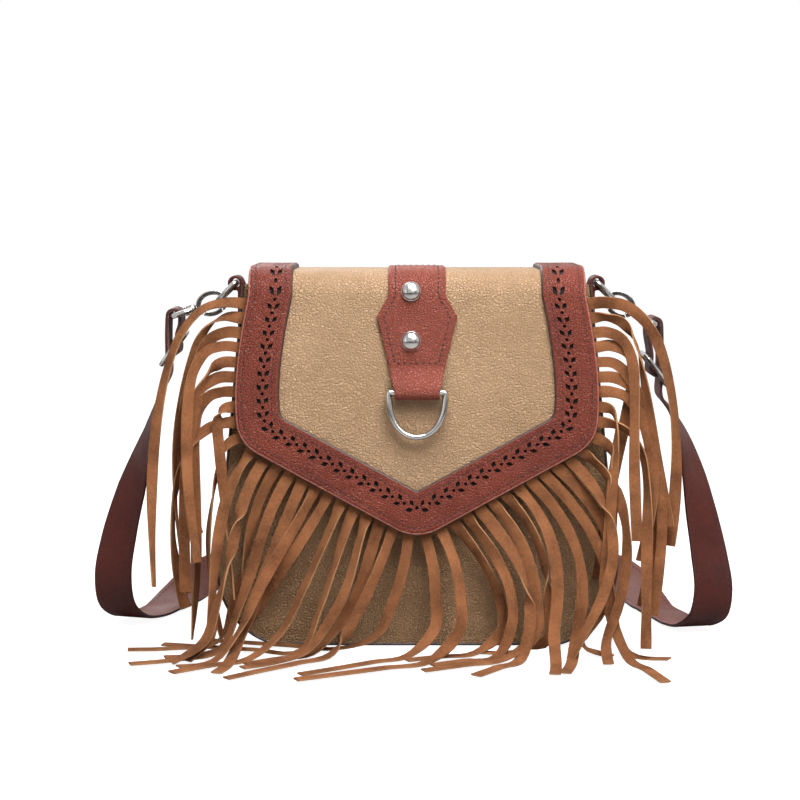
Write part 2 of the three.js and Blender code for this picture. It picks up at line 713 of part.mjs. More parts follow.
// One closed mesh: a header band whose outer edge grows a strip at every pitch
function fringe() {
  const header = headerLine();
  const corners = [];
  const index = [];
  const keep = (...points) => points.map((point) => corners.push(point.x, point.y, point.z) / 3 - 1);
  const quad = (a, b, c, d) => index.push(a, b, c, a, c, d);
  const wall = (from, to, k) => quad(from[k], from[(k + 1) % 4], to[(k + 1) % 4], to[k]);
  const tube = (from, to) => [0, 1, 2, 3].forEach((k) => wall(from, to, k));
  const [low, high] = [headerRise, headerRise + fringeThick];
  const row = (run) => {
    const { spot, outward } = headerPoint(header, run);
    const inner = spot.clone().addScaledVector(outward, headerEdge - headerInset);
    return keep(onFlap(spot.x, spot.y, low), onFlap(spot.x, spot.y, high), onFlap(inner.x, inner.y, high),
      onFlap(inner.x, inner.y, low));
  };
  const count = Math.floor(header.total / stripPitch);
  const margin = (header.total - (count - 1) * stripPitch) / 2;
  let before = row(0.5);
  quad(...before.slice().reverse());
  for (let i = 0; i < count; i++) {
    const middle = margin + i * stripPitch;
    const [start, end] = [row(middle - stripWidth / 2), row(middle + stripWidth / 2)];
    tube(before, start);
    [1, 2, 3].forEach((k) => wall(start, end, k));
    const fromTop = Math.min(middle, header.total - middle);
    const share = 2 * fromTop / header.total;
    const number = Math.floor(fromTop / stripPitch);
    const side = middle < header.total / 2 ? 1 : -1;
    const frontStrip = side < 0 ? leftFrontStrip : rightFrontStrip;
    const plain = share < sideShare ? sideStrip(side, share, number) : frontStrip(share, number);
    const [leanX, leanY, faceTurn, longer, floorTurn] = ownLie[i % ownLie.length];
    const strip = {
      length: plain.length * (1 + longer),
      stiff: plain.stiff,
      lean: (t) => plain.lean(t).add(vec(leanX, leanY, 0)),
      faceTo: turnedFlat(plain.faceTo, faceTurn),
      floorWay: turnedFlat(plain.floorWay, floorTurn),
    };
    let last = [start[0], start[1], end[1], end[0]];
    for (const { point, across, through } of stripSections(headerPoint(header, middle), strip)) {
      const corner = (w, n) => point.clone().addScaledVector(across, w * stripWidth / 2)
        .addScaledVector(through, n * fringeThick / 2);
      const next = keep(corner(-1, -1), corner(-1, 1), corner(1, 1), corner(1, -1));
      tube(last, next);
      last = next;
    }
    quad(...last);
    before = end;
  }
  const close = row(header.total - 0.5);
  tube(before, close);
  quad(...close);
  const geometry = new THREE.BufferGeometry();
  geometry.setAttribute('position', new THREE.Float32BufferAttribute(corners, 3));
  geometry.setIndex(index);
  return closed(geometry);
}
add('fringe', fringe(), camelSuede);

// Side fittings, mirrored left and right: chape, D-ring, snap hook and its eye
const sideLean = Math.atan((lowHalfWidth - topHalfWidth) / bagHeight);
function sideFrame(side) {
  const up = vec(-side * Math.sin(sideLean), 0, Math.cos(sideLean));
  const out = vec(side * Math.cos(sideLean), 0, Math.sin(sideLean));
  const top = vec(side * topHalfWidth, sideY, bagHeight);
  return (outward, upward) => top.clone().addScaledVector(out, outward).addScaledVector(up, upward);
}

// A plate drawn in the XZ plane and given its thickness along Y, about the middle of the strap
function sidePlate(shape, thick) {
  const plate = new THREE.ExtrudeGeometry(shape, { depth: thick, bevelEnabled: false, curveSegments: 8 });
  plate.rotateX(Math.PI / 2);
  plate.translate(0, sideY + thick / 2, 0);
  return plate;
}

function chape(side) {
  const at = sideFrame(side);
  const flat = (outward, upward) => {
    const spot = at(outward, upward);
    return new THREE.Vector2(spot.x, spot.z);
  };
  const eye = at(chapeReach, -1);
  const inner = fitWire + fitRoom;
  const outer = inner + chapeLayer;
  const foot = layerGap;
  const outline = [flat(foot, -chapeDrop), flat(foot + 2 * chapeLayer, -chapeDrop)];
  for (let k = 0; k <= 12; k++) {
    const angle = mix(-1.9, 2.6, k / 12);
    outline.push(new THREE.Vector2(eye.x + side * outer * Math.cos(angle), eye.z + outer * Math.sin(angle)));
  }
  outline.push(flat(foot, -5));
  const shape = new THREE.Shape(side > 0 ? outline : outline.reverse());
  const hole = new THREE.Path();
  hole.absarc(eye.x, eye.z, inner, 0, 2 * Math.PI, true);
  shape.holes.push(hole);
  return sidePlate(shape, chapeWidth);
}

function sideFittings(side, label, hookTilt) {
  add(`chape_${label}`, closed(chape(side)), strapLeather);
  const eye = sideFrame(side)(chapeReach, -1);
  const ringWay = vec(side * Math.cos(dRingTilt), 0, -Math.sin(dRingTilt));
  const ringFace = vec().crossVectors(vec(0, 1, 0), ringWay);
  const ringLine = dShape(eye, vec(0, 1, 0), ringWay, dRingHalf, dRingReach, 10);
  add(`side_ring_${label}`, wireLoop(ringLine, ringFace, fitWire), polishedNickel);

  const seat = eye.clone().addScaledVector(ringWay, dRingReach);
  const hookWay = vec(side * Math.cos(hookTilt), 0, -Math.sin(hookTilt));
  const hookSide = vec(side * Math.sin(hookTilt), 0, Math.cos(hookTilt));
  const local = (a, b) => {
    const spot = seat.clone().addScaledVector(hookWay, a).addScaledVector(hookSide, b);
    return new THREE.Vector2(spot.x, spot.z);
  };
  const oval = (grow) => (turn) => {
    return local(jawCentre + (jawLong + grow) * Math.cos(turn), (jawHalf + grow) * Math.sin(turn));
  };
  const arc = (curve, from, to, steps) => {
    return Array.from({ length: steps + 1 }, (_, k) => curve(mix(from, to, k / steps)));
  };
  const shapeOf = (outline) => {
    return new THREE.Shape(THREE.ShapeUtils.isClockWise(outline) ? outline.slice().reverse() : outline);
  };
  const outer = oval(jawMetal);
  const inner = oval(0);
  const cutAngle = (a, half) => 2 * Math.PI - Math.acos((a - jawCentre) / half);
  const outerCut = (a) => cutAngle(a, jawLong + jawMetal);
  const innerCut = (a) => cutAngle(a, jawLong);
  const hookOutline = [
    ...arc(outer, gateEnd - 2 * Math.PI, outerCut(jawTip), 18),
    ...arc(inner, innerCut(jawTip), gateEnd - 2 * Math.PI, 16),
  ];
  const hookPlate = solidOf(sidePlate(shapeOf(hookOutline), hookThick));
  const neck = (from, to, half) => {
    return shapeOf([local(from, -half), local(to, -half), local(to, half), local(from, half)]);
  };
  const jawEnd = jawCentre + jawLong + jawMetal;
  const stem = solidOf(sidePlate(neck(jawEnd - jawMetal * 0.6, stemEnd, stemHalf), 2 * stemHalf));
  const head = solidOf(sidePlate(neck(stemEnd - 1.2, stemEnd, stemHalf + 1), 2 * (stemHalf + 1)));
  add(`snap_hook_${label}`, geometryOf(hookPlate.add(stem).add(head)), polishedNickel);

  const gateTurn = gateRoom / jawLong;
  const gateOutline = [
    ...arc(outer, outerCut(jawTip + gateRoom), gateEnd - gateTurn, 7),
    ...arc(inner, gateEnd - gateTurn, innerCut(jawTip + gateRoom), 7),
  ];
  add(`hook_gate_${label}`, closed(sidePlate(shapeOf(gateOutline), hookThick - 0.8)), polishedNickel);

  const across = vec(0, 1, 0);
  const corner = (a, w) => seat.clone().addScaledVector(hookWay, a).addScaledVector(across, w);
  const nearBar = stemEnd - 1.2 - layerGap - eyeBoss;
  const eyePath = [];
  const bend = 2;
  for (const [a, w, start] of [[eyeReach, 1, 0], [nearBar, 1, 1], [nearBar, -1, 2], [eyeReach, -1, 3]]) {
    for (let k = 0; k <= 2; k++) {
      const turn = (start + k / 2) * Math.PI / 2;
      eyePath.push(corner(a + (a === eyeReach ? -bend : bend) + bend * Math.cos(turn),
        w * (eyeHalf - bend) + bend * Math.sin(turn)));
    }
  }
  const loop = solidOf(wireLoop(eyePath, hookSide, fitWire));
  const boss = solidOf(sidePlate(neck(nearBar - eyeBoss, nearBar + eyeBoss, bossHalf), 2 * bossHalf));
  const boreHalf = stemHalf + layerGap;
  const bore = solidOf(sidePlate(neck(nearBar - 9, nearBar + 9, boreHalf), 2 * boreHalf));
  add(`swivel_eye_${label}`, geometryOf(loop.add(boss).subtract(bore)), polishedNickel);
  return corner(eyeReach, 0);
}
const eyeRight = sideFittings(1, 'right', hookTiltRight);
const eyeLeft = sideFittings(-1, 'left', hookTiltLeft);

// Strap: up from each slider, over the eye, down through the slider, along the surface and behind
const loopTurn = fitWire + loopRoom + strapThick / 2;
const layer = (x, y, z, wx, wy, wz) => ({ at: vec(x, y, z), across: vec(wx, wy, wz) });
const onEdge = (x, y) => layer(x, y, strapWidth / 2 + 0.4, 0, 0, 1);
const laid = (x, y, wx, wy) => layer(x, y, strapThick / 2 + 0.8, wx, wy, 0);
const hung = (eye, out, share, y, wx, wy) => layer(eye.x + out, y, eye.z * share, wx, wy, 0);
const rightFall = [
  hung(eyeRight, 8.7, 0.72, 8.5, 0.12, 1),
  hung(eyeRight, 15.2, 0.634, 7, 0.35, 0.94),
  hung(eyeRight, 20.2, 0.515, 3, 0.62, 0.78),
  hung(eyeRight, 23.7, 0.383, -3, 0.82, 0.57),
  hung(eyeRight, 26.7, 0.258, -9, 0.92, 0.4),
  hung(eyeRight, 28.2, 0.152, -14, 0.96, 0.28),
  layer(143, -14, 11, 0.97, 0.22, 0),
  layer(138, -6, 4, 0.98, 0.2, 0),
  laid(133, 8, 0.98, 0.2),
  laid(128.5, 26, 0.98, 0.2),
  laid(124, 44, 0.98, 0.2),
  layer(119, 63, 5.4, 0.9, 0.2, 0.38),
  layer(113, 84, 9.4, 0.5, 0.15, 0.8),
  onEdge(104, 106),
  onEdge(88, 130),
  onEdge(62, 149),
  onEdge(32, 160),
];
const leftFall = [
  hung(eyeLeft, -7.3, 0.745, 8.5, -0.15, 1),
  hung(eyeLeft, -13.3, 0.63, 7.5, -0.35, 0.94),
  hung(eyeLeft, -22.3, 0.45, 5, -0.75, 0.66),
  hung(eyeLeft, -28.3, 0.302, 2, -0.88, 0.47),
  hung(eyeLeft, -31.3, 0.18, 0, -0.94, 0.35),
  layer(-149, 3, 13, -0.96, 0.3, 0),
  layer(-144.5, 12, 5, -0.96, 0.28, 0),
  laid(-138, 27, -0.94, 0.34),
  laid(-131, 44, -0.94, 0.34),
  layer(-123, 63, 5.4, -0.88, 0.3, 0.38),
  layer(-115, 84, 9.4, -0.5, 0.2, 0.8),
  onEdge(-105, 106),
  onEdge(-88, 130),
  onEdge(-62, 149),
  onEdge(-32, 160),
];

// The doubled end: round the slider's middle bar, up, over the eye and down again
const runningSide = loopTurn + 0.4;
const middleBarIn = sliderPitch / 2 * Math.sin(sliderTilt);
const middleBarUp = sliderPitch / 2 * Math.cos(sliderTilt);
function doubledEnd(side, eye, drop) {
  const flat = (x, z) => layer(x, eye.y, z, 0, 1, 0);
  const stages = [];
  const barX = eye.x + side * (runningSide - middleBarIn);
  const barZ = eye.z - drop + middleBarUp;
  const wrap = sliderBar + 0.4 + strapThick / 2;
  for (let k = 0; k <= 3; k++) {
    const turn = mix(-70, -180, k / 3) * Math.PI / 180;
    stages.push(flat(barX + side * wrap * Math.cos(turn), barZ + wrap * Math.sin(turn)));
  }
  stages.push(flat(barX - side * (wrap - 0.4), barZ + 2 * middleBarUp));
  stages.push(flat(eye.x - side * (loopTurn - 0.1), mix(eye.z, barZ, 0.25)));
  for (let k = 0; k <= 7; k++) {
    const turn = Math.PI * (1 - k / 7);
    stages.push(flat(eye.x + side * loopTurn * Math.cos(turn), eye.z + loopTurn * Math.sin(turn)));
  }
  stages.push(flat(eye.x + side * runningSide, eye.z - drop * 0.4));
  stages.push(flat(eye.x + side * runningSide, eye.z - drop));
  stages.push(flat(eye.x + side * runningSide, eye.z - drop - sliderPitch));
  return stages;
}

function strap() {
  const left = [...doubledEnd(-1, eyeLeft, sliderDropLeft), ...leftFall];
  const right = [...doubledEnd(1, eyeRight, sliderDropRight), ...rightFall];
  const stages = [...left, onEdge(0, 163), ...right.reverse()];
  const route = new THREE.CatmullRomCurve3(stages.map(({ at }) => at), false, 'centripetal');
  const points = [];
  const widths = [];
  stages.forEach(({ across }, i) => {
    const last = i === stages.length - 1;
    const pieces = last || stages[i].at.distanceTo(stages[i + 1].at) < strapWidth / 3 ? 1 : 2;
    for (let k = 0; k < pieces; k++) {
      points.push(route.getPoint((i + k / pieces) / (stages.length - 1)));
      widths.push(k === 0 ? across : across.clone().lerp(stages[i + 1].across, k / pieces));
    }
  });
  return band(points, widths, strapWidth, strapThick);
}
add('strap', strap(), strapLeather);

// Slider: a flat frame with a middle bar, standing across the running layer of the strap
function slider(side, eye, drop) {
  const along = vec(side * Math.sin(sliderTilt), 0, -Math.cos(sliderTilt));
  const face = vec().crossVectors(vec(0, 1, 0), along);
  const window = vec(eye.x + side * runningSide, eye.y, eye.z - drop);
  const middle = window.clone().addScaledVector(along, -sliderPitch / 2);
  const corners = [];
  for (const [a, w] of [[1, 1], [-1, 1], [-1, -1], [1, -1]]) {
    for (const soft of a === w ? [[1, 0.85], [0.8, 1]] : [[0.8, 1], [1, 0.85]]) {
      const spot = middle.clone().addScaledVector(along, a * sliderPitch * soft[0]);
      corners.push(spot.addScaledVector(vec(0, 1, 0), w * sliderHalf * soft[1]));
    }
  }
  const bar = new THREE.CylinderGeometry(sliderBar, sliderBar, 2 * sliderHalf, 8);
  bar.translate(middle.x, middle.y, middle.z);
  return geometryOf(solidOf(wireLoop(corners, face, sliderBar)).add(solidOf(bar)));
}
add('slider_right', slider(1, eyeRight, sliderDropRight), polishedNickel);
add('slider_left', slider(-1, eyeLeft, sliderDropLeft), polishedNickel);

export default bag;
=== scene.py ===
# Blender looks of a small crossbody bag with a pointed flap and a long suede fringe.
# Shapes are worked out in millimetres, in the CAD frame, and built in metres.
from bisect import bisect_right
from math import atan, atan2, copysign, cos, dist, exp, pi, radians, sin, sqrt, tan

import bmesh
import bpy
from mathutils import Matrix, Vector, noise
from mathutils.geometry import delaunay_2d_cdt


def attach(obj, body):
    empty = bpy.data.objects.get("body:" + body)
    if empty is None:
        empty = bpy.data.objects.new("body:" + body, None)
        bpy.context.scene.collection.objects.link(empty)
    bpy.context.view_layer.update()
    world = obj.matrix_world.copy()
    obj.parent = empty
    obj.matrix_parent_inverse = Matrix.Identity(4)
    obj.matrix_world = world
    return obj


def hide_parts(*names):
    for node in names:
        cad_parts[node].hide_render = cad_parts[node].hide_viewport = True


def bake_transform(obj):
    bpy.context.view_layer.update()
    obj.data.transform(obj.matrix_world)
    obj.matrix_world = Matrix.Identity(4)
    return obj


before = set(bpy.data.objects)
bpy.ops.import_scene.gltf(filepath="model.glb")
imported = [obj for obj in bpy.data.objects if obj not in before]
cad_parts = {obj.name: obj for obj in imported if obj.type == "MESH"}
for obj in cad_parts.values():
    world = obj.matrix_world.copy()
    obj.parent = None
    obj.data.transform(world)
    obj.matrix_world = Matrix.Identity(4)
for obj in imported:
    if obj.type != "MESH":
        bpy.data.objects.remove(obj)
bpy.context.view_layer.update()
MM = 0.001
QUARTER = pi / 2


def show(name, data):
    item = bpy.data.objects.new(name, data)
    bpy.context.scene.collection.objects.link(item)
    return item


# Camera at the photograph's place
CAMERA_PLACE = (-0.008, -0.945, 0.210)
CAMERA_PITCH = radians(90 - 5.78)
camera_data = bpy.data.cameras.new("camera")
camera_data.lens = 87.1
camera_data.sensor_width = 36
camera = show("camera", camera_data)
camera.location = CAMERA_PLACE
camera.rotation_euler = (CAMERA_PITCH, 0, 0)
bpy.context.scene.camera = camera
bpy.context.scene.view_settings.view_transform = "Standard"

# Sizes that the pieces share with the CAD solids
BAG_HEIGHT = 172
TOP_HALF_WIDTH = 82
LOW_HALF_WIDTH = 98
CORNER_RADIUS = 36
TOP_HALF_DEPTH = 26
LOW_HALF_DEPTH = 37
PANEL_BULGE = 3
LEATHER = 1.6
SEAM_GAP = 0.3
LINING_CLOTH = 0.8
LINING_ROOM = 0.7
HINGE_HEIGHT = 164
HINGE_Y = TOP_HALF_DEPTH + 2.2
FRONT_TOP_Y = -(TOP_HALF_DEPTH + 5.2)
BACK_BEND = 8
FRONT_BEND = 9
FLAP_LEAN = radians(5)
TIP_HEIGHT = 55
FLAP_TOP_HALF = 79
FLAP_WIDE_HALF = 85
SHOULDER_HEIGHT = 104
SHOULDER_RADIUS = 17
TIP_RADIUS = 20
TIP_SLOPE = radians(28.6)
FRINGE_THICK = 1.0
FLAP_LEATHER = 1.4
BORDER_WIDTH = 20.5
HEADER_RISE = 1.1
PANEL_RISE = 2.4
BACKING_RISE = 4.1
BORDER_RISE = 4.9
BORDER_TOP = 6.1
BACK_RISE = 3
BACK_LAP = 28


def mix(a, b, t):
    return a + (b - a) * t


def smooth(t):
    t = min(max(t, 0), 1)
    return t * t * (3 - 2 * t)


def vec(x, y, z):
    return Vector((x, y, z))


# Materials
def linear(colour):
    return [c / 12.92 if c <= 0.04045 else ((c + 0.055) / 1.055) ** 2.4 for c in (v / 255 for v in colour)]


class Shader:
    def __init__(self, name, roughness=0.5, **constants):
        self.material = bpy.data.materials.new(name)
        self.material.use_nodes = True
        self.nodes = self.material.node_tree.nodes
        self.links = self.material.node_tree.links
        self.surface = self.nodes["Principled BSDF"]
        self.surface.inputs["Roughness"].default_value = roughness
        for socket, value in constants.items():
            self.surface.inputs[socket.replace("_", " ")].default_value = value
        self.place = self.add("ShaderNodeTexCoord").outputs["Object"]

    # Makes a node, sets its properties and links its sockets or sets them.
    def add(self, kind, **values):
        node = self.nodes.new(kind)
        for name, value in values.items():
            if isinstance(value, bpy.types.NodeSocket):
                self.links.new(value, node.inputs[name])
            elif name in node.inputs:
                node.inputs[name].default_value = value
            else:
                setattr(node, name, value)
        return node

    def noise(self, scale, detail=3):
        return self.add("ShaderNodeTexNoise", Scale=scale, Detail=detail, Vector=self.place).outputs["Fac"]

    # Distance to the edges of small cells
    def cells(self, scale, place):
        node = self.add("ShaderNodeTexVoronoi", Scale=scale, feature="DISTANCE_TO_EDGE", Vector=place)
        return node.outputs["Distance"]

    def warped(self, scale, amount):
        node = self.add("ShaderNodeTexNoise", Scale=scale, Detail=2, Vector=self.place)
        shifted = self.add("ShaderNodeVectorMath", operation="MULTIPLY_ADD")
        self.links.new(node.outputs["Color"], shifted.inputs[0])
        shifted.inputs[1].default_value = (amount, amount, amount)
        self.links.new(self.place, shifted.inputs[2])
        return shifted.outputs[0]

    def ranged(self, value, low, high, to_low=0, to_high=1):
        node = self.add("ShaderNodeMapRange", Value=value)
        for socket, number in zip(("From Min", "From Max", "To Min", "To Max"), (low, high, to_low, to_high)):
            node.inputs[socket].default_value = number
        return node.outputs["Result"]

    def sum(self, a, b, share=1):
        node = self.add("ShaderNodeMath", operation="MULTIPLY_ADD")
        self.links.new(b, node.inputs[0])
        node.inputs[1].default_value = share
        self.links.new(a, node.inputs[2])
        return node.outputs[0]

    def colours(self, value, *stops):
        node = self.add("ShaderNodeValToRGB", Fac=value)
        ramp = node.color_ramp
        while len(ramp.elements) < len(stops):
            ramp.elements.new(0.5)
        for element, (spot, colour) in zip(ramp.elements, stops):
            element.position = spot
            element.color = (*linear(colour), 1)
        return node.outputs["Color"]

    # Darkens a colour where a value runs low: painted shade in the creases of the grain
    def shaded(self, colour, value, dark=0.7):
        node = self.add("ShaderNodeMix", data_type="RGBA", blend_type="MULTIPLY")
        node.inputs[0].default_value = 1
        self.links.new(colour, node.inputs[6])
        self.links.new(self.ranged(value, 0, 1, dark, 1), node.inputs[7])
        return node.outputs[2]

    def finish(self, colour, height=None, depth=0.0001, strength=1, roughness=None):
        self.links.new(colour, self.surface.inputs["Base Color"])
        if height is not None:
            bump = self.add("ShaderNodeBump", Strength=strength, Distance=depth, Height=height)
            self.links.new(bump.outputs["Normal"], self.surface.inputs["Normal"])
        if roughness is not None:
            self.links.new(roughness, self.surface.inputs["Roughness"])
        return self.material


def pebbled_leather(name, light, dark, cell=1.45, depth=0.00042, low_rough=0.42, high_rough=0.6):
    s = Shader(name, Specular_IOR_Level=0.32)
    place = s.warped(420, 0.0009)
    edges = s.cells(1000 / cell, place)
    pebble = s.ranged(edges, 0, 0.2)
    fine = s.noise(2600, 3)
    height = s.sum(pebble, fine, 0.25)
    height = s.sum(height, s.noise(160, 3), 0.9)
    patches = s.noise(26, 4)
    colour = s.colours(s.sum(patches, s.noise(240, 3), 0.35), (0.35, dark), (0.95, light))
    # Painted shade in the creases between the pebbles
    colour = s.shaded(colour, pebble, 0.9)
    rough = s.ranged(s.sum(fine, patches, 0.6), 0.4, 1.2, low_rough, high_rough)
    return s.finish(colour, height, depth, 1, rough)


def smooth_leather(name, light, dark, rough=0.45):
    s = Shader(name, Specular_IOR_Level=0.25)
    place = s.warped(300, 0.001)
    creases = s.ranged(s.cells(900, place), 0, 0.2)
    height = s.sum(creases, s.noise(1900, 3), 0.5)
    height = s.sum(height, s.noise(120, 3), 1.2)
    colour = s.colours(s.sum(s.noise(35, 4), s.noise(500, 2), 0.4), (0.4, dark), (1.0, light))
    # Painted shade in the creases of the strap's grain
    colour = s.shaded(colour, creases, 0.82)
    roughness = s.ranged(s.noise(90, 4), 0.3, 0.7, rough - 0.08, rough + 0.12)
    return s.finish(colour, height, 0.00007, 0.7, roughness)


def suede(name, light, dark):
    s = Shader(name, 0.95, Sheen_Weight=0.18, Sheen_Roughness=0.55, Specular_IOR_Level=0.15)
    s.surface.inputs["Sheen Tint"].default_value = (*linear((214, 160, 112)), 1)
    nap = s.noise(2300, 5)
    clouds = s.noise(70, 4)
    colour = s.colours(s.sum(clouds, s.noise(900, 3), 0.45), (0.42, dark), (0.95, light))
    height = s.sum(nap, s.noise(500, 4), 0.9)
    return s.finish(colour, height, 0.00016, 0.8)


def painted_edge(name, light, dark, rough=0.4):
    s = Shader(name)
    grain = s.noise(700, 4)
    return s.finish(s.colours(grain, (0.3, dark), (0.75, light)), grain, 0.00012, 0.7,
                    s.ranged(s.noise(300, 3), 0.3, 0.7, rough, rough + 0.2))


def thread(name, light, dark):
    s = Shader(name, 0.7, Sheen_Weight=0.2)
    twist = s.add("ShaderNodeTexWave", Scale=900, Distortion=2.0, Detail=2, Vector=s.place).outputs["Fac"]
    return s.finish(s.colours(twist, (0.2, dark), (0.9, light)), twist, 0.00008, 0.8)


def woven_cloth(name, light, dark):
    s = Shader(name, 0.9, Sheen_Weight=0.15)
    weave = []
    for direction in ("X", "Z"):
        weave.append(s.add("ShaderNodeTexWave", Scale=520, Distortion=0.6, Detail=1,
                           bands_direction=direction, Vector=s.place).outputs["Fac"])
    height = s.sum(*weave)
    colour = s.colours(s.sum(height, s.noise(60, 3), 0.5), (0.4, dark), (1.0, light))
    return s.finish(colour, height, 0.00015, 0.7)


def nickel(name, colour, dark, rough=0.14):
    s = Shader(name, Metallic=1.0)
    smudge = s.noise(140, 4)
    scratch = s.noise(3000, 2)
    return s.finish(s.colours(smudge, (0.35, dark), (0.65, colour)), scratch, 0.00001, 0.35,
                    s.ranged(smudge, 0.3, 0.75, rough - 0.05, rough + 0.12))


BEIGE = pebbled_leather("beige_leather", (186, 152, 118), (164, 131, 98))
# A darker copy of the beige leather: painted shade for the pouch's front panel and gusset, which lie low
# behind the fringe
BEIGE_PAINTED_SHADE = pebbled_leather("beige_leather_painted_shade", (166, 130, 95), (144, 111, 79))
BEIGE_BACK = suede("beige_flesh_side", (170, 136, 100), (146, 112, 80))
RUST = pebbled_leather("rust_leather", (146, 74, 58), (120, 54, 41), 1.25, 0.00036, 0.4, 0.56)
RUST_BORDER = pebbled_leather("rust_border_leather", (132, 60, 44), (104, 42, 30), 1.25, 0.00036, 0.4, 0.56)
RUST_EDGE = painted_edge("rust_rolled_edge", (176, 108, 94), (140, 76, 62))
DARK_EDGE = painted_edge("dark_painted_edge", (74, 50, 40), (44, 28, 23))
BLACK_EDGE = painted_edge("black_painted_edge", (34, 26, 23), (16, 13, 12))
STRAP = smooth_leather("strap_leather", (92, 37, 29), (60, 22, 17))
STRAP_INNER = smooth_leather("strap_inner_leather", (164, 112, 104), (134, 84, 78), 0.55)
STRAP_EDGE = painted_edge("strap_painted_edge", (70, 34, 31), (42, 20, 19))
SUEDE = suede("camel_suede", (150, 97, 63), (84, 51, 32))
SUEDE_EDGE = suede("suede_cut_edge", (176, 130, 93), (134, 92, 62))
THREAD = thread("dark_thread", (54, 23, 19), (26, 11, 10))
BEIGE_THREAD = thread("beige_thread", (150, 116, 82), (116, 86, 58))
CLOTH = woven_cloth("lining_cloth", (72, 54, 44), (40, 29, 24))
BACKING = woven_cloth("black_backing", (26, 22, 21), (12, 10, 10))
NICKEL = nickel("polished_nickel", (214, 212, 208), (186, 184, 181))
NICKEL_DARK = nickel("inner_nickel", (176, 172, 166), (140, 136, 132), 0.22)


# A shape is its corners, its faces and, where it has several materials, each face's material.
def make(name, shape, materials, body="root", slot=None, replaces=(), crease=42):
    verts, faces, *marks = shape
    mesh = bpy.data.meshes.new(name)
    mesh.from_pydata([(v[0] * MM, v[1] * MM, v[2] * MM) for v in verts], [], faces)
    for material in materials:
        mesh.materials.append(material)
    if marks:
        mesh.polygons.foreach_set("material_index", marks[0])
    bm = bmesh.new()
    bm.from_mesh(mesh)
    bmesh.ops.recalc_face_normals(bm, faces=bm.faces)
    for face in bm.faces:
        face.smooth = True
    for edge in bm.edges:
        if len(edge.link_faces) == 2 and edge.calc_face_angle(0) > radians(crease):
            edge.smooth = False
    bm.to_mesh(mesh)
    bm.free()
    piece = show(name, mesh)
    if replaces:
        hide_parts(*replaces)
    if body:
        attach(piece, body)
    return piece


# A thick sheet: place(row, column, side) gives each corner, side 1 out and 0 in. Its faces are
# marked 0 outside, 1 inside and 2 around the edge.
def shell(rows, columns, place):
    width = columns + 1
    count = (rows + 1) * width
    verts = [place(i, j, side) for side in (1, 0) for i in range(rows + 1) for j in range(width)]
    faces = []
    for i in range(rows):
        for j in range(columns):
            a = i * width + j
            faces.append((a, a + 1, a + width + 1, a + width))
            faces.append((count + a, count + a + width, count + a + width + 1, count + a + 1))
    edges = [(i * width + j, width) for i in range(rows) for j in (0, columns)]
    edges += [(i * width + j, 1) for j in range(columns) for i in (0, rows)]
    faces += [(a, a + step, count + a + step, count + a) for a, step in edges]
    return verts, faces, [0, 1] * (rows * columns) + [2] * len(edges)


# Corners in a circle about a point, from two ways as long as its radius
def ring(point, first, second, sides):
    turns = [2 * pi * k / sides for k in range(sides)]
    return [point + first * cos(turn) + second * sin(turn) for turn in turns]


# The way along a row of points at one of them, and a way made square to it
def along_at(points, i):
    return (points[min(i + 1, len(points) - 1)] - points[max(i - 1, 0)]).normalized()


def squared(way, along):
    return (way - along * way.dot(along)).normalized()


# Faces along a run of rings of corners, with one over each end unless the run is closed
def skin(count, sides, closed=False):
    faces = []
    for i in range(count if closed else count - 1):
        a, b = i * sides, (i + 1) % count * sides
        faces += [(a + k, b + k, b + (k + 1) % sides, a + (k + 1) % sides) for k in range(sides)]
    if not closed:
        faces += [tuple(range(sides)), tuple(range((count - 1) * sides, count * sides))]
    return faces


def tube(path, radius, sides, normal, closed=True, squeeze=1.0):
    verts = []
    count = len(path)
    for i, point in enumerate(path):
        before = path[i - 1] if closed or i else point
        after = path[(i + 1) % count] if closed or i < count - 1 else point
        along = (after - before).normalized()
        flat = squared(normal, along)
        verts += ring(point, along.cross(flat).normalized() * radius, flat * radius * squeeze, sides)
    return verts, skin(count, sides, closed)


def joined(shapes):
    verts, faces, marks = [], [], []
    for more_verts, more_faces, *more_marks in shapes:
        start = len(verts)
        verts += more_verts
        faces += [tuple(v + start for v in face) for face in more_faces]
        marks += more_marks
    return (verts, faces, sum(marks, [])) if marks else (verts, faces)


def rounded(path, times=3):
    for _ in range(times):
        cut = []
        for i, point in enumerate(path):
            after = path[(i + 1) % len(path)]
            cut += [point.lerp(after, 0.25), point.lerp(after, 0.75)]
        path = cut
    return path


# Stitches stand a little proud of the leather along a line of (point, normal). Each seam is its
# pitch, a stitch's length and its radius, and each span a share of the length, of the radius and a lift.
PALE_SEAM = (3.0, 2.2, 0.3)
DARK_SEAM = (2.6, 2.0, 0.36)
STRAP_SEAM = (3.0, 2.2, 0.27)
STITCH_SPANS = ((-0.5, 0.3, -0.9), (-0.34, 0.85, -0.1), (0, 1, 0.25), (0.34, 0.85, -0.1), (0.5, 0.3, -0.9))
STITCH_SINK = 0.12


def stitches(line, pitch, length, radius):
    runs = [0]
    for i in range(1, len(line)):
        runs.append(runs[-1] + (line[i][0] - line[i - 1][0]).length)
    number = max(int(runs[-1] / pitch), 1)
    gap = runs[-1] / number
    shapes = []
    at = 0
    for n in range(number):
        middle = (n + 0.5) * gap
        while at < len(runs) - 2 and runs[at + 1] < middle:
            at += 1
        t = (middle - runs[at]) / max(runs[at + 1] - runs[at], 1e-6)
        point = line[at][0].lerp(line[at + 1][0], t)
        up = line[at][1].lerp(line[at + 1][1], t).normalized()
        along = (line[at + 1][0] - line[at][0]).normalized()
        across = along.cross(up).normalized()
        verts = []
        for reach, size, lift in STITCH_SPANS:
            spot = point + along * reach * length + up * (lift * radius - STITCH_SINK)
            verts += ring(spot, across * radius * size, up * radius * size, 6)
        shapes.append((verts, skin(len(STITCH_SPANS), 6)))
    return joined(shapes)


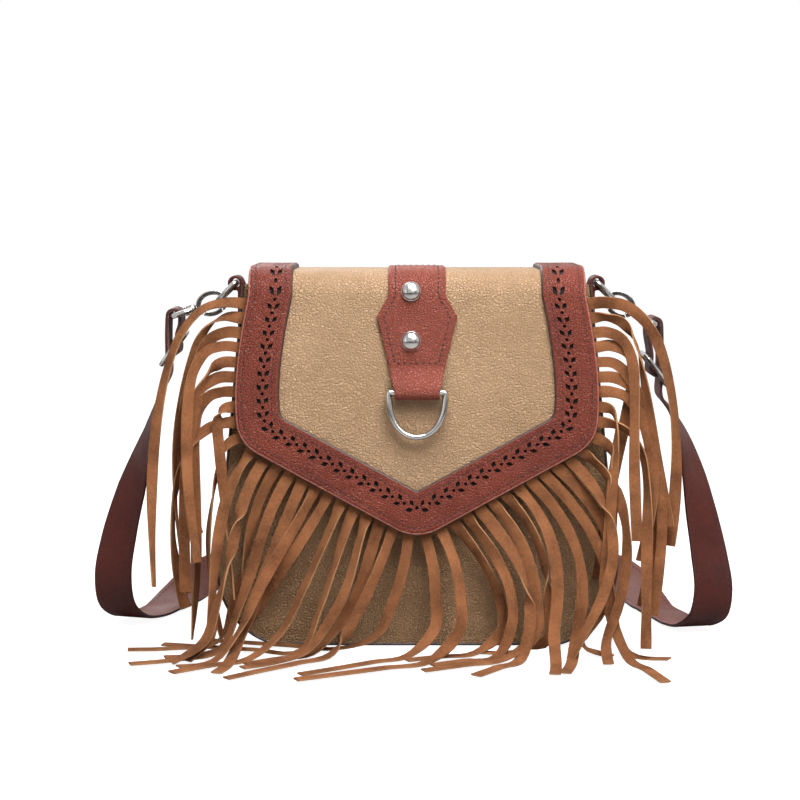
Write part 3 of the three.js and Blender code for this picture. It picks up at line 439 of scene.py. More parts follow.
# Pouch
def half_width(z, inset=0):
    side = mix(LOW_HALF_WIDTH, TOP_HALF_WIDTH, z / BAG_HEIGHT) - inset
    radius = CORNER_RADIUS - inset
    rise = radius - (z - inset)
    if rise <= 0:
        return side
    corner = mix(LOW_HALF_WIDTH, TOP_HALF_WIDTH, CORNER_RADIUS / BAG_HEIGHT) - CORNER_RADIUS
    return min(side, corner + sqrt(max(radius * radius - rise * rise, 0)))


def half_depth(z):
    return mix(LOW_HALF_DEPTH, TOP_HALF_DEPTH, z / BAG_HEIGHT)


def panel_depth(x, z, facing):
    u = min(abs(x) / half_width(max(z, 0.5)), 1)
    bulge = PANEL_BULGE * (1 - u * u) * sin(pi * min(z / BAG_HEIGHT, 1))
    edge = min(half_width(z) - abs(x), z, 30)
    soft = smooth((edge - 5) / 12) * smooth((BAG_HEIGHT - z) / 30)
    folds = noise.noise(vec(x * 0.045, facing * 4, z * 0.014)) * 2.2 - 0.7
    dents = noise.noise(vec(x * 0.02 + 7, facing * 9, z * 0.02)) * 1.4 - 0.5
    roll = -0.5 * exp(-((edge - 5.5) / 1.6) ** 2)
    return half_depth(z) + bulge + soft * min(folds + dents, 0.5) + roll * (z < BAG_HEIGHT - 4)


def pouch_panel(facing):
    rows, columns = 84, 84
    heights = [0.5 + (BAG_HEIGHT - 0.5) * (i / rows) ** 1.15 for i in range(rows + 1)]

    def place(i, j, side):
        z = heights[i]
        u = sin((j / columns - 0.5) * pi) * 0.35 + (2 * j / columns - 1) * 0.65
        x = u * half_width(z)
        y = panel_depth(x, z, facing) - (0 if side else LEATHER)
        return vec(x, facing * y, z)

    return shell(rows, columns, place)


# The front panel and gusset take the darker copy of the beige leather, which is painted shade; the back panel
# and flap keep the plain beige leather
OUTER_LEATHER = [BEIGE, BEIGE_BACK, DARK_EDGE]
SHADED_POUCH_LEATHER = [BEIGE_PAINTED_SHADE, BEIGE_BACK, DARK_EDGE]
make("pouch_front", pouch_panel(-1), SHADED_POUCH_LEATHER, slot="beige_leather", replaces=["front_panel"])
make("pouch_back", pouch_panel(1), OUTER_LEATHER, slot="beige_leather", replaces=["back_panel"])


# Half of the pouch's side, as x, z and the turn of its outward way, then mirrored
def side_line():
    steps = 24
    line = []
    for i in range(steps + 1):
        z = mix(BAG_HEIGHT, CORNER_RADIUS, i / steps)
        line.append((mix(LOW_HALF_WIDTH, TOP_HALF_WIDTH, z / BAG_HEIGHT), z, 0))
    middle = line[-1][0] - CORNER_RADIUS
    for i in range(1, steps + 1):
        turn = QUARTER * i / steps
        line.append((middle + CORNER_RADIUS * cos(turn), CORNER_RADIUS * (1 - sin(turn)), turn))
    for i in range(1, steps // 2 + 1):
        line.append((middle * (1 - 2 * i / steps), 0, QUARTER))
    mirrored = [(-x, z, pi - turn) for x, z, turn in reversed(line[:-1])]
    return line + mirrored


SIDE_LINE = side_line()


def gusset():
    last = len(SIDE_LINE) - 1
    columns = 20

    def place(i, j, side):
        x, z, turn = SIDE_LINE[i]
        u = 2 * j / columns - 1
        depth = half_depth(z) - LEATHER - SEAM_GAP
        sag = 1.1 * (1 - u * u) * (0.6 + 0.4 * noise.noise(vec(x * 0.03, u, z * 0.04)))
        sag *= 1 if z > 4 else 0.15
        sink = sag + (0 if side else LEATHER)
        return vec(x - cos(turn) * sink, u * depth, z + sin(turn) * sink)

    return shell(last, columns, place)


# The gusset wears the darker copy of the beige leather, painted shade
make("pouch_gusset", gusset(), SHADED_POUCH_LEATHER, slot="beige_leather", replaces=["gusset"])

# The painted seams that join the panels to the gusset, and the stitches beside them
SEAM_PROUD = 0.1
SEAM_DEPTH = 1.5
SEAM_LOWEST = 1.05
SEAM_INSET = 3.2
RIM_HEIGHT = BAG_HEIGHT - 4


def seam_edge(facing):
    path = [vec(x + cos(turn) * SEAM_PROUD, facing * (half_depth(z) - SEAM_DEPTH),
                max(z - sin(turn) * SEAM_PROUD, SEAM_LOWEST)) for x, z, turn in SIDE_LINE]
    return tube(path, 1.0, 12, vec(0, 1, 0), closed=False, squeeze=1.75)


def on_panel(x, z, facing):
    dx = panel_depth(x + 0.5, z, facing) - panel_depth(x - 0.5, z, facing)
    return vec(x, facing * panel_depth(x, z, facing), z), vec(-dx, facing, 0.06).normalized()


for facing, label in ((-1, "front"), (1, "back")):
    make("seam_edge_" + label, seam_edge(facing), [DARK_EDGE], slot="beige_leather")
    spots = [(x - cos(turn) * SEAM_INSET, z + sin(turn) * SEAM_INSET) for x, z, turn in SIDE_LINE]
    line = [on_panel(x, z, facing) for x, z in spots if z < BAG_HEIGHT - 5]
    make("panel_stitches_" + label, stitches(line, *PALE_SEAM), [BEIGE_THREAD])
    rim_half = half_width(RIM_HEIGHT) - 3
    rim = [on_panel((i / 30 - 1) * rim_half, RIM_HEIGHT, facing) for i in range(61)]
    make("rim_stitches_" + label, stitches(rim, *PALE_SEAM), [BEIGE_THREAD])


def lining_bag():
    around = 96
    heights = [5 + (BAG_HEIGHT - 7) * i / 30 for i in range(31)]
    floor_shares = (0.03, 0.3, 0.6, 0.85, 1)
    outer = LEATHER + LINING_ROOM
    inner = outer + LINING_CLOTH
    rings = [(outer, outer + 0.1, share) for share in floor_shares]
    rings += [(outer, z, 1) for z in heights]
    rings += [(inner, z, 1) for z in heights[::-1]]
    rings += [(inner, inner + 0.1, share) for share in floor_shares[::-1]]
    verts = []
    for inset, z, share in rings:
        for k in range(around):
            turn = 2 * pi * k / around
            c, s = cos(turn), sin(turn)
            x = half_width(max(z, inset + 1.5), inset) * copysign(abs(c) ** 0.36, c) * share
            y = (half_depth(z) - inset) * copysign(abs(s) ** 0.36, s) * share
            wrinkle = 0
            if inset == inner and share == 1:
                wrinkle = 0.6 * (noise.noise(vec(x * 0.05, y * 0.05, z * 0.03)) - 0.6)
            verts.append(vec(x + wrinkle * c, y + wrinkle * s, z))
    return verts, skin(len(rings), around)


make("pouch_lining", lining_bag(), [CLOTH], slot="dark_cloth", replaces=["lining"])


# Flap: its profile runs up the back, over the top and down the front
BACK_ARC = BACK_BEND * QUARTER
TOP_RUN = HINGE_Y - BACK_BEND - (FRONT_TOP_Y + FRONT_BEND)
FRONT_ARC = FRONT_BEND * (QUARTER - FLAP_LEAN)
FRONT_START = BACK_RISE + BACK_ARC + TOP_RUN + FRONT_ARC
FLAP_TOP_Z = HINGE_HEIGHT + BACK_RISE + BACK_BEND
FRONT_TOP_Z = FLAP_TOP_Z - FRONT_BEND + FRONT_BEND * sin(FLAP_LEAN)


def flap_frame(s):
    if s < BACK_RISE:
        return HINGE_Y, HINGE_HEIGHT + s, 1, 0
    if s < BACK_RISE + BACK_ARC:
        turn = (s - BACK_RISE) / BACK_BEND
        ny, nz = cos(turn), sin(turn)
        return HINGE_Y - BACK_BEND + BACK_BEND * ny, FLAP_TOP_Z - BACK_BEND + BACK_BEND * nz, ny, nz
    if s < BACK_RISE + BACK_ARC + TOP_RUN:
        return HINGE_Y - BACK_BEND - (s - BACK_RISE - BACK_ARC), FLAP_TOP_Z, 0, 1
    turn = min((s - BACK_RISE - BACK_ARC - TOP_RUN) / FRONT_BEND, QUARTER - FLAP_LEAN)
    ny, nz = -sin(turn), cos(turn)
    beyond = max(s - FRONT_START, 0)
    y = FRONT_TOP_Y + FRONT_BEND + FRONT_BEND * ny - beyond * sin(FLAP_LEAN)
    return y, FLAP_TOP_Z - FRONT_BEND + FRONT_BEND * nz - beyond * cos(FLAP_LEAN), ny, nz


# Below the hinge the flap's leather comes down to the back panel, where it is sewn.
def on_flap(x, s, rise):
    y, z, ny, nz = flap_frame(s)
    if s < 0:
        gap = HINGE_Y + PANEL_RISE - 0.1 - panel_depth(x, z, 1)
        y -= gap * smooth(-s / (BACK_LAP - 6))
    return vec(x, y + ny * rise, z + nz * rise)


def flap_normal(s):
    return vec(0, *flap_frame(s)[2:])


def reach_of(z):
    return FRONT_START + (FRONT_TOP_Z - z) / cos(FLAP_LEAN)


TIP_REACH = reach_of(TIP_HEIGHT)

# Right half of the flap's outline, drawn in by an inset: rows down its straight part, then steps
# along the side, the shoulder, the slope and the tip, whose last step stops short of the middle
def flap_outline(inset, rows, steps, tip_share):
    shoulder = reach_of(SHOULDER_HEIGHT)
    wide, top = FLAP_WIDE_HALF - inset, FLAP_TOP_HALF - inset
    roundness = max(TIP_RADIUS - inset, 1.2)
    tip_centre = TIP_REACH - inset - roundness
    tangent = (roundness * sin(TIP_SLOPE), tip_centre + roundness * cos(TIP_SLOPE))
    crossing = tangent[1] - (wide - tangent[0]) * tan(TIP_SLOPE)
    fillet = max(SHOULDER_RADIUS - inset, 3) * tan((QUARTER - TIP_SLOPE) / 2) + 2
    side_end = crossing - fillet
    slope_end = (wide - fillet * cos(TIP_SLOPE), crossing + fillet * sin(TIP_SLOPE))
    points = [(top, s) for s in rows]

    def bend(a, b, c, count):
        for k in range(1, count + 1):
            t = k / count
            p, q, r = (1 - t) * (1 - t), 2 * t * (1 - t), t * t
            points.append((p * a[0] + q * b[0] + r * c[0], p * a[1] + q * b[1] + r * c[1]))

    bend((top, FRONT_START), (wide + 1.5, mix(FRONT_START, shoulder, 0.55)), (wide, side_end), steps[0])
    bend((wide, side_end), (wide, crossing), slope_end, steps[1])
    for k in range(1, steps[2] + 1):
        t = k / steps[2]
        points.append((mix(slope_end[0], tangent[0], t), mix(slope_end[1], tangent[1], t)))
    for k in range(1, steps[3] + 1):
        turn = TIP_SLOPE * (1 - k / tip_share)
        points.append((roundness * sin(turn), tip_centre + roundness * cos(turn)))
    return points


def flap_edge(inset):
    rows = [-BACK_LAP + BACK_LAP * k / 10 for k in range(10)]
    rows += [BACK_RISE * k / 2 for k in range(2)]
    rows += [BACK_RISE + BACK_ARC * k / 8 for k in range(9)]
    rows += [BACK_RISE + BACK_ARC + TOP_RUN * k / 8 for k in range(1, 8)]
    rows += [FRONT_START - FRONT_ARC * (1 - k / 8) for k in range(9)]
    return flap_outline(inset, rows, (22, 16, 18, 12), 12.2)


# Both halves of an outline, with its tip between them
def whole(half, tip):
    return half + [(0, tip)] + [(-x, s) for x, s in reversed(half)]


def runs_of(points):
    runs = [0]
    for here, last in zip(points[1:], points):
        runs.append(runs[-1] + dist(here, last))
    return runs


# The number of the span that a run falls in, and the share of the span that it has gone
def span_at(runs, run):
    i = min(max(bisect_right(runs, run), 1), len(runs) - 1)
    return i, (run - runs[i - 1]) / (runs[i] - runs[i - 1])


def over_hinge(piece):
    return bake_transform(piece)


def flap_layer(name, inset, rise, thick, materials, start, softness, **facts):
    edge = [point for point in flap_edge(inset) if point[1] >= start]
    columns = 44

    def place(i, j, side):
        x, s = edge[i]
        u = 2 * j / columns - 1
        inside = min(x * (1 - abs(u)), TIP_REACH - s)
        dent = softness * smooth((inside - BORDER_WIDTH) / 25) * smooth((s - FRONT_START) / 20)
        dent *= 0.5 + 0.5 * noise.noise(vec(u * x * 0.03, 3, s * 0.03))
        return on_flap(u * x, s, rise - dent + (thick if side else 0))

    return over_hinge(make(name, shell(len(edge) - 1, columns, place), materials, body=None, **facts))


flap_layer("flap_leather", 0.6, PANEL_RISE, FLAP_LEATHER, OUTER_LEATHER, -BACK_LAP, 0.9,
           slot="beige_leather", replaces=["flap_panel"])
flap_layer("flap_lining_cloth", 2.5, 0, LINING_CLOTH, [CLOTH, CLOTH, CLOTH], 0, 0,
           slot="dark_cloth", replaces=["flap_lining"])


# The border is laid out flat as run along it and inset across it, with its cut-out pattern.
ROW_INSET = 12.6
REPEAT = 6.4
SEAM_INSETS = (2.8, BORDER_WIDTH - 3.7)
OUTER = whole(flap_edge(0), TIP_REACH)
INNER = whole(flap_edge(BORDER_WIDTH), TIP_REACH - BORDER_WIDTH)
RUNS = runs_of([[mix(outer[k], inner[k], ROW_INSET / BORDER_WIDTH) for k in (0, 1)]
                for outer, inner in zip(OUTER, INNER)])
BORDER_RUN = RUNS[-1]


def border_spot(run, inset):
    i, t = span_at(RUNS, run)
    outer = [mix(OUTER[i - 1][k], OUTER[i][k], t) for k in (0, 1)]
    inner = [mix(INNER[i - 1][k], INNER[i][k], t) for k in (0, 1)]
    share = inset / BORDER_WIDTH
    return mix(outer[0], inner[0], share), mix(outer[1], inner[1], share)


def on_border(run, inset, rise):
    return on_flap(*border_spot(run, inset), rise)


# Outlines of the holes, as run and inset: a dot between each two pairs of leaves, and one at the tip
DOT = [(0.82 * cos(k * pi / 5), 0.82 * sin(k * pi / 5)) for k in range(10)]
LEAF = [(1.9, 0), (0.12, 1.06), (-0.12, 1.06), (-1.9, 0), (-0.12, -1.06), (0.12, -1.06)]
LEAF_TURN = radians(38)
LEAF_LIFT = 1.75


def cut_outs():
    middle = BORDER_RUN / 2

    def outline(run, inset, turn, points):
        c, s = cos(turn), sin(turn)
        return [(run + x * c - y * s, inset + x * s + y * c) for x, y in points]

    shapes = [outline(middle, ROW_INSET, 0, DOT)]
    for side in (-1, 1):
        for n in range(int((middle - 4) / REPEAT)):
            spot = middle + side * (n + 0.5) * REPEAT
            for lift in (-1, 1):
                turn = side * lift * LEAF_TURN + (0 if side > 0 else pi)
                shapes.append(outline(spot, ROW_INSET + lift * LEAF_LIFT, turn, LEAF))
            shapes.append(outline(middle + side * (n + 1) * REPEAT, ROW_INSET, 0, DOT))
    return shapes


def border_rise(inset):
    edge = min(inset, BORDER_WIDTH - inset)
    rise = BORDER_TOP - 0.75 * max(1 - edge / 1.3, 0) ** 2
    for line in SEAM_INSETS:
        rise -= 0.22 * exp(-((inset - line) / 0.55) ** 2)
    return rise - 0.12 * exp(-((inset - ROW_INSET) / 2.5) ** 2)


def border():
    shapes = cut_outs()
    points = []
    rings = []
    for shape in shapes:
        rings.append(list(range(len(points), len(points) + len(shape))))
        points += [Vector(p) for p in shape]
    insets = [0, 0.45, 0.9, 1.5, 2.2, 2.8, 3.4, 4.2, 6.2, 8.6, 10.2, 12.6, 15.2, 16.2, 16.8, 17.4, 18.4, 19.2,
              19.7, 20.1, BORDER_WIDTH]
    count = int(BORDER_RUN / 2.2)
    centres = [tuple(sum(p[k] for p in shape) / len(shape) for k in (0, 1)) for shape in shapes]
    for i in range(count + 1):
        run = BORDER_RUN * i / count
        near = [c for c in centres if abs(c[0] - run) < 2.7]
        for inset in insets:
            if all(dist(c, (run, inset)) > 2.3 for c in near):
                points.append(Vector((run, inset)))
    made = delaunay_2d_cdt(points, [], rings, 0, 1e-4)
    flat, triangles, sources = made[0], made[2], made[5]
    kept = [tri for tri, source in zip(triangles, sources) if not source]
    used = sorted({v for tri in kept for v in tri})
    number = {v: k for k, v in enumerate(used)}
    verts = []
    for side in (1, 0):
        for v in used:
            run, inset = flat[v]
            run, inset = min(max(run, 0), BORDER_RUN), min(max(inset, 0), BORDER_WIDTH)
            edge = min(inset, BORDER_WIDTH - inset)
            under = PANEL_RISE + FLAP_LEATHER + 0.08 if edge < 1.4 else BORDER_RISE - 0.15
            verts.append(on_border(run, inset, border_rise(inset) if side else under))
    size = len(used)
    faces = []
    marks = []
    sides = {}
    for tri in kept:
        a, b, c = (number[v] for v in tri)
        faces.append((a, b, c))
        faces.append((size + a, size + c, size + b))
        marks += [1 if min(flat[v][1] for v in tri) > BORDER_WIDTH - 0.85 else 0, 2]
        for edge in ((a, b), (b, c), (c, a)):
            if (edge[1], edge[0]) in sides:
                sides.pop((edge[1], edge[0]))
            else:
                sides[edge] = True
    for a, b in sides:
        faces.append((b, a, size + a, size + b))
        marks.append(1)
    return verts, faces, marks

over_hinge(make("border_leather", border(), [RUST_BORDER, DARK_EDGE, BACKING], body=None,
                slot="rust_leather", replaces=["flap_border"], crease=50))


def border_line(inset, rise):
    count = int(BORDER_RUN)
    spots = [border_spot(BORDER_RUN * i / count, inset) for i in range(count + 1)]
    return [(on_flap(*spot, rise), flap_normal(spot[1])) for spot in spots]


def piping(name, inset, rise, radius, material):
    line = border_line(inset, rise)
    spots = [spot for spot, _ in line]
    verts = []
    for i, (spot, up) in enumerate(line):
        verts += ring(spot, along_at(spots, i).cross(up).normalized() * radius, up * radius, 8)
    over_hinge(make(name, (verts, skin(len(line), 8)), [material], body=None, slot="rust_leather"))


piping("border_rolled_edge", 0.35, BORDER_TOP - 0.85, 0.58, RUST_EDGE)
piping("border_under_edge", 0.15, BORDER_TOP - 1.95, 0.6, BLACK_EDGE)
seams = [stitches(border_line(inset, border_rise(inset)), *DARK_SEAM) for inset in SEAM_INSETS]
over_hinge(make("border_stitches", joined(seams), [THREAD], body=None))

BACKING_ROWS = 240
BACKING_CLOTH = 0.5


def backing(i, j, side):
    inset = mix(2.2, BORDER_WIDTH - 2.2, j / 3)
    return on_border(BORDER_RUN * i / BACKING_ROWS, inset, BACKING_RISE + (BACKING_CLOTH if side else 0))


over_hinge(make("border_backing_cloth", shell(BACKING_ROWS, 3, backing), [BACKING, BACKING, BACKING],
                body=None, slot="dark_cloth", replaces=["border_backing"]))

# The seam that holds the flap's lap to the back panel
LAP_HALF = FLAP_TOP_HALF - BORDER_WIDTH - 2
lap = [(on_flap((i / 40 - 1) * LAP_HALF, 3 - BACK_LAP, PANEL_RISE + FLAP_LEATHER), vec(0, 1, 0))
       for i in range(81)]
make("lap_stitches", stitches(lap, *PALE_SEAM), [BEIGE_THREAD])


# Centre tab: its leather runs down over the ring's bar and tucks in behind it
TAB_RISE = BACKING_RISE
TAB_THICK = 1.4
TAB_TOP_HALF = 13.5
TAB_WIDE_HALF = 19
TAB_END_HALF = 13.4
TAB_WIDE_HEIGHT = 157
TAB_END_HEIGHT = 134
LOOP_HEIGHT = 121.5
LOOP_HALF = 10.6
LOOP_INNER = 2.2
BAR_RISE = BACKING_RISE + TAB_THICK + LOOP_INNER + 0.2
TAB_START = FRONT_START - FRONT_ARC - 22
TAB_SEAM_INSET = 3.4
RIVET_X = -2.8
RIVET_HEIGHTS = {"rivet_upper": 168, "rivet_lower": 145.5}
SNAP_HEIGHT = 108


def tab_half(s):
    wide, end, bar = (reach_of(z) for z in (TAB_WIDE_HEIGHT, TAB_END_HEIGHT, LOOP_HEIGHT))
    if s < FRONT_START:
        return TAB_TOP_HALF
    if s < wide:
        return mix(TAB_TOP_HALF, TAB_WIDE_HALF, (s - FRONT_START) / (wide - FRONT_START))
    if s < end:
        return mix(TAB_WIDE_HALF, TAB_END_HALF, (s - wide) / (end - wide))
    return mix(TAB_END_HALF, LOOP_HALF, min((s - end) / (bar - end), 1))


def tab_lift(s):
    end, bar = reach_of(TAB_END_HEIGHT), reach_of(LOOP_HEIGHT)
    return TAB_RISE + (BAR_RISE + LOOP_INNER - TAB_RISE) * smooth((s - end) / (bar - end))


def tab():
    bar = reach_of(LOOP_HEIGHT)
    rows = []
    spots = sorted({TAB_START + (bar - TAB_START) * k / 90 for k in range(90)}
                   | {reach_of(TAB_WIDE_HEIGHT), reach_of(TAB_END_HEIGHT), TAB_START + 0.4, TAB_START + 0.9})
    for s in spots:
        drop = 0.5 * max(1 - (s - TAB_START) / 1.2, 0) ** 2
        low = tab_lift(s)
        rows.append((tab_half(s), on_flap(0, s, low), on_flap(0, s, low + TAB_THICK - drop)))
    for k in range(25):
        turn = QUARTER - pi * k / 24
        c, s = cos(turn), sin(turn)
        high, low = LOOP_INNER + TAB_THICK, LOOP_INNER
        rows.append((LOOP_HALF, on_flap(0, bar + low * c, BAR_RISE + low * s),
                     on_flap(0, bar + high * c, BAR_RISE + high * s)))
    tail = mix(bar, reach_of(TAB_END_HEIGHT), 0.5)
    under = BAR_RISE - LOOP_INNER
    for k in range(1, 9):
        s = mix(bar, tail, k / 8)
        rows.append((LOOP_HALF, on_flap(0, s, under), on_flap(0, s, under - TAB_THICK)))
    across = [-1, -0.985, -0.95, -0.88] + [k / 8 for k in range(-6, 7)] + [0.88, 0.95, 0.985, 1]

    def place(i, j, side):
        half, low, high = rows[i]
        reach = (1 - abs(across[j])) * half
        ease = 0.32 * max(1 - reach / 1.1, 0) ** 2 + 0.14 * exp(-((reach - 3.4) / 0.6) ** 2)
        spot = low.lerp(high, 1 - ease if side else min(ease, 0.3))
        return spot + vec(across[j] * half, 0, 0)

    return shell(len(rows) - 1, len(across) - 1, place)


make("tab_leather", tab(), [RUST, RUST, DARK_EDGE], body="flap", slot="rust_leather",
     replaces=["flap_tab"], crease=60)


def on_tab(share, s):
    return on_flap(share * (tab_half(s) - TAB_SEAM_INSET), s, TAB_RISE + TAB_THICK), flap_normal(s)


first, last = TAB_START + 4, reach_of(TAB_END_HEIGHT + 1.2)
seams = [[on_tab(side, mix(first, last, k / 60)) for k in range(61)] for side in (-1, 1)]
seams += [[on_tab(k / 10 - 1, s) for k in range(21)] for s in (first, last)]
make("tab_stitches", joined([stitches(line, *DARK_SEAM) for line in seams]), [THREAD], body="flap")


# Turned pieces: rivets and the two halves of the snap. A profile is a row of (radius, height).
RIVET = [(4.0, -0.1), (4.7, 0), (4.75, 0.25), (4.65, 0.5), (4.45, 0.62)]
RIVET += [(4.3 * cos(QUARTER * k / 14), 0.75 + 2.55 * sin(QUARTER * k / 14)) for k in range(14)]
RIVET += [(0.25, 3.3)]
SNAP_UPPER = ((6.6, 0.98), (7, 0.8), (7, 0.2), (6.8, 0), (4.4, 0), (4, 0.25), (2.6, 0.25), (2.3, 0), (0.1, 0))
SNAP_LOWER = ((6.8, 0), (7, 0.2), (7, 0.8), (6.7, 1), (4.4, 1), (4, 0.75), (2.6, 0.75), (2.3, 1), (0.1, 1))


def turned(name, profile, centre, axis, material, body, node):
    side_way = vec(1, 0, 0)
    other_way = axis.cross(side_way).normalized()
    verts = []
    for radius, height in profile:
        verts += ring(centre + axis * height, side_way * radius, other_way * radius, 48)
    make(name, (verts, skin(len(profile), 48)), [material], body=body, slot="polished_nickel",
         replaces=[node], crease=50)


for name, height in RIVET_HEIGHTS.items():
    s = reach_of(height)
    centre = on_flap(RIVET_X, s, TAB_RISE + TAB_THICK + 0.02)
    turned(name + "_dome", RIVET, centre, flap_normal(s), NICKEL, "flap", name)

s = reach_of(SNAP_HEIGHT)
panel_y = -(half_depth(SNAP_HEIGHT) + PANEL_BULGE * sin(pi * SNAP_HEIGHT / BAG_HEIGHT) + 0.3)
axis = flap_normal(s)
turned("snap_upper_disc", SNAP_UPPER, on_flap(0, s, -1.3), axis, NICKEL_DARK, "flap", "snap_flap_half")
turned("snap_lower_disc", SNAP_LOWER, vec(0, panel_y, SNAP_HEIGHT), axis, NICKEL_DARK, "root",
       "snap_body_half")

# Rings
RING_WIRE = 1.45
SIDE_RING_REACH = 13
SIDE_LEAN = atan((LOW_HALF_WIDTH - TOP_HALF_WIDTH) / BAG_HEIGHT)
SIDE_Y = 9


def d_shape(centre, across, outward, half, reach, steps=40):
    points = []
    for k in range(steps + 1):
        turn = pi * k / steps
        points.append(centre + across * half * cos(turn)
                      + outward * reach * max(sin(turn), 0) ** 0.8)
    points += [centre - across * half * (1 - k / 6) for k in range(1, 6)]
    points += [centre + across * half * k / 6 for k in range(0, 6)]
    return points

def d_ring(name, node, bar, across, way, half, reach):
    path = rounded(d_shape(bar, across, way, half, reach), 2)
    make(name, tube(path, RING_WIRE, 20, across.cross(way).normalized()), [NICKEL], body=node,
         slot="polished_nickel", replaces=[node])


# Where a chape holds its ring
def side_eye(side):
    up = vec(-side * sin(SIDE_LEAN), 0, cos(SIDE_LEAN))
    out = vec(side * cos(SIDE_LEAN), 0, sin(SIDE_LEAN))
    return vec(side * TOP_HALF_WIDTH, SIDE_Y, BAG_HEIGHT) + out * 6.5 - up


def downward(side, tilt):
    return vec(side * cos(tilt), 0, -sin(tilt))


ring_down = vec(0, -sin(FLAP_LEAN * 1.2), -cos(FLAP_LEAN * 1.2))
d_ring("front_d_ring", "front_ring", on_flap(0, reach_of(LOOP_HEIGHT), BAR_RISE), vec(1, 0, 0), ring_down,
       13.3, 21)
for side, label in ((1, "right"), (-1, "left")):
    d_ring("side_d_ring_" + label, "side_ring_" + label, side_eye(side), vec(0, 1, 0),
           downward(side, pi / 4), 9.8, SIDE_RING_REACH)


# A cast or sewn piece: the CAD solid's form with its edges rounded
def softened(node, name, material, body, voxel, passes):
    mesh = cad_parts[node].data.copy()
    mesh.materials.clear()
    piece = show(name, mesh)
    remesh = piece.modifiers.new("remesh", "REMESH")
    remesh.mode = "VOXEL"
    remesh.voxel_size = voxel * MM
    relax = piece.modifiers.new("relax", "SMOOTH")
    relax.factor = 0.5
    relax.iterations = passes
    bpy.context.view_layer.update()
    final = bpy.data.meshes.new_from_object(piece.evaluated_get(bpy.context.evaluated_depsgraph_get()))
    piece.modifiers.clear()
    piece.data = final
    final.materials.clear()
    final.materials.append(material)
    for polygon in final.polygons:
        polygon.use_smooth = True
        polygon.material_index = 0
    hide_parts(node)
    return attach(piece, body)


for label in ("right", "left"):
    for node, name, body, voxel in (
        ("snap_hook_" + label, "hook_jaw_" + label, "snap_hook_" + label, 0.32),
        ("hook_gate_" + label, "gate_wire_" + label, "hook_gate_" + label, 0.25),
        ("swivel_eye_" + label, "swivel_loop_" + label, "root", 0.34),
        ("slider_" + label, "slider_frame_" + label, "root", 0.3),
    ):
        softened(node, name, NICKEL, body, voxel, 5)
    softened("chape_" + label, "chape_leather_" + label, STRAP, "root", 0.4, 3)


# Strips follow the CAD fringe's lines, with their width turning and cupping on the way.
STRIP_WIDTH = 5.3
STRIP_COLUMNS = 4
STRIP_STEPS = (0.5, 0.6, 0.8, 1, 1.2, 1.3, 1.3, 1.3)
STRIP_PITCH = 6.9
HEADER_EDGE = 2
FLOOR_LAY = 1.5
FLATTEN_HEIGHT = 30
SIDE_SHARE = 0.42
DOWN = vec(0, 0, -1)
DOWN_FLAP = vec(0, -sin(FLAP_LEAN), -cos(FLAP_LEAN))


def wave(number, step):
    return sin(number * step * 2.399 + step)


def in_turn(number):
    return (1, -0.2, 0.5, -1)[number % 4]


HEADER = whole(flap_outline(HEADER_EDGE, [FRONT_START], (5, 4, 4, 5), 5.4), TIP_REACH - HEADER_EDGE)
HEADER_RUNS = runs_of(HEADER)


def header_point(run):
    i, t = span_at(HEADER_RUNS, run)
    spot = (mix(HEADER[i - 1][0], HEADER[i][0], t), mix(HEADER[i - 1][1], HEADER[i][1], t))
    tangent = Vector((HEADER[i][0] - HEADER[i - 1][0], HEADER[i][1] - HEADER[i - 1][1])).normalized()
    return spot, tangent, Vector((tangent.y, -tangent.x))


def side_strip(side, share, number):
    low = share / SIDE_SHARE
    reach = mix(0.36, 0.16, low)
    sway = 0.14 * wave(number, 3)
    return {
        "length": 130 + 12 * wave(number, 2) - 28 * low,
        "stiff": mix(18, 12, low) + 5 * wave(number, 1),
        "lean": lambda t: vec(side * ((reach + 0.32 * in_turn(number)) * (1 - t) ** 2 - 0.12 * t)
                              + sway * sin(5 * t), -0.05 - 0.1 * low + 0.08 * wave(number, 6), 0),
        "face": vec(1, -side * (0.7 + 0.5 * wave(number, 4)), 0),
        "floor": vec(side, -0.6, 0),
    }


def front_strip(side, share, number):
    low = (share - SIDE_SHARE) / (1 - SIDE_SHARE)
    sway = 0.16 * wave(number, 3)
    turn = wave(number, 5)
    strip = {
        "length": 132 + 12 * wave(number, 2) - 18 * low,
        "stiff": mix(20, 60, smooth(low * 2.2)),
        "face": vec(1, 0.35 * turn, 0),
        "floor": vec(-1, -0.5 + 0.3 * wave(number, 4), 0),
    }
    if side > 0:
        strip = {
            "length": 127 + 12 * wave(number, 2) - 12 * low,
            "stiff": mix(20, 40, smooth(low * 2.2)),
            "face": vec(1, -0.3 + 0.35 * turn, 0),
            "floor": vec(-1 if low > 0.45 else 0.2, -0.7, 0),
        }

    def lean(t):
        if side < 0:
            way = -0.06 - 0.3 * low + 0.55 * low * cos(4 * t)
        else:
            way = (0.5 - 0.25 * low) * cos(3.4 * t) - 0.12 * low
        return vec(way + sway * sin(6 * t), -0.24 + 0.1 * in_turn(number), 0)

    strip["lean"] = lean
    return strip


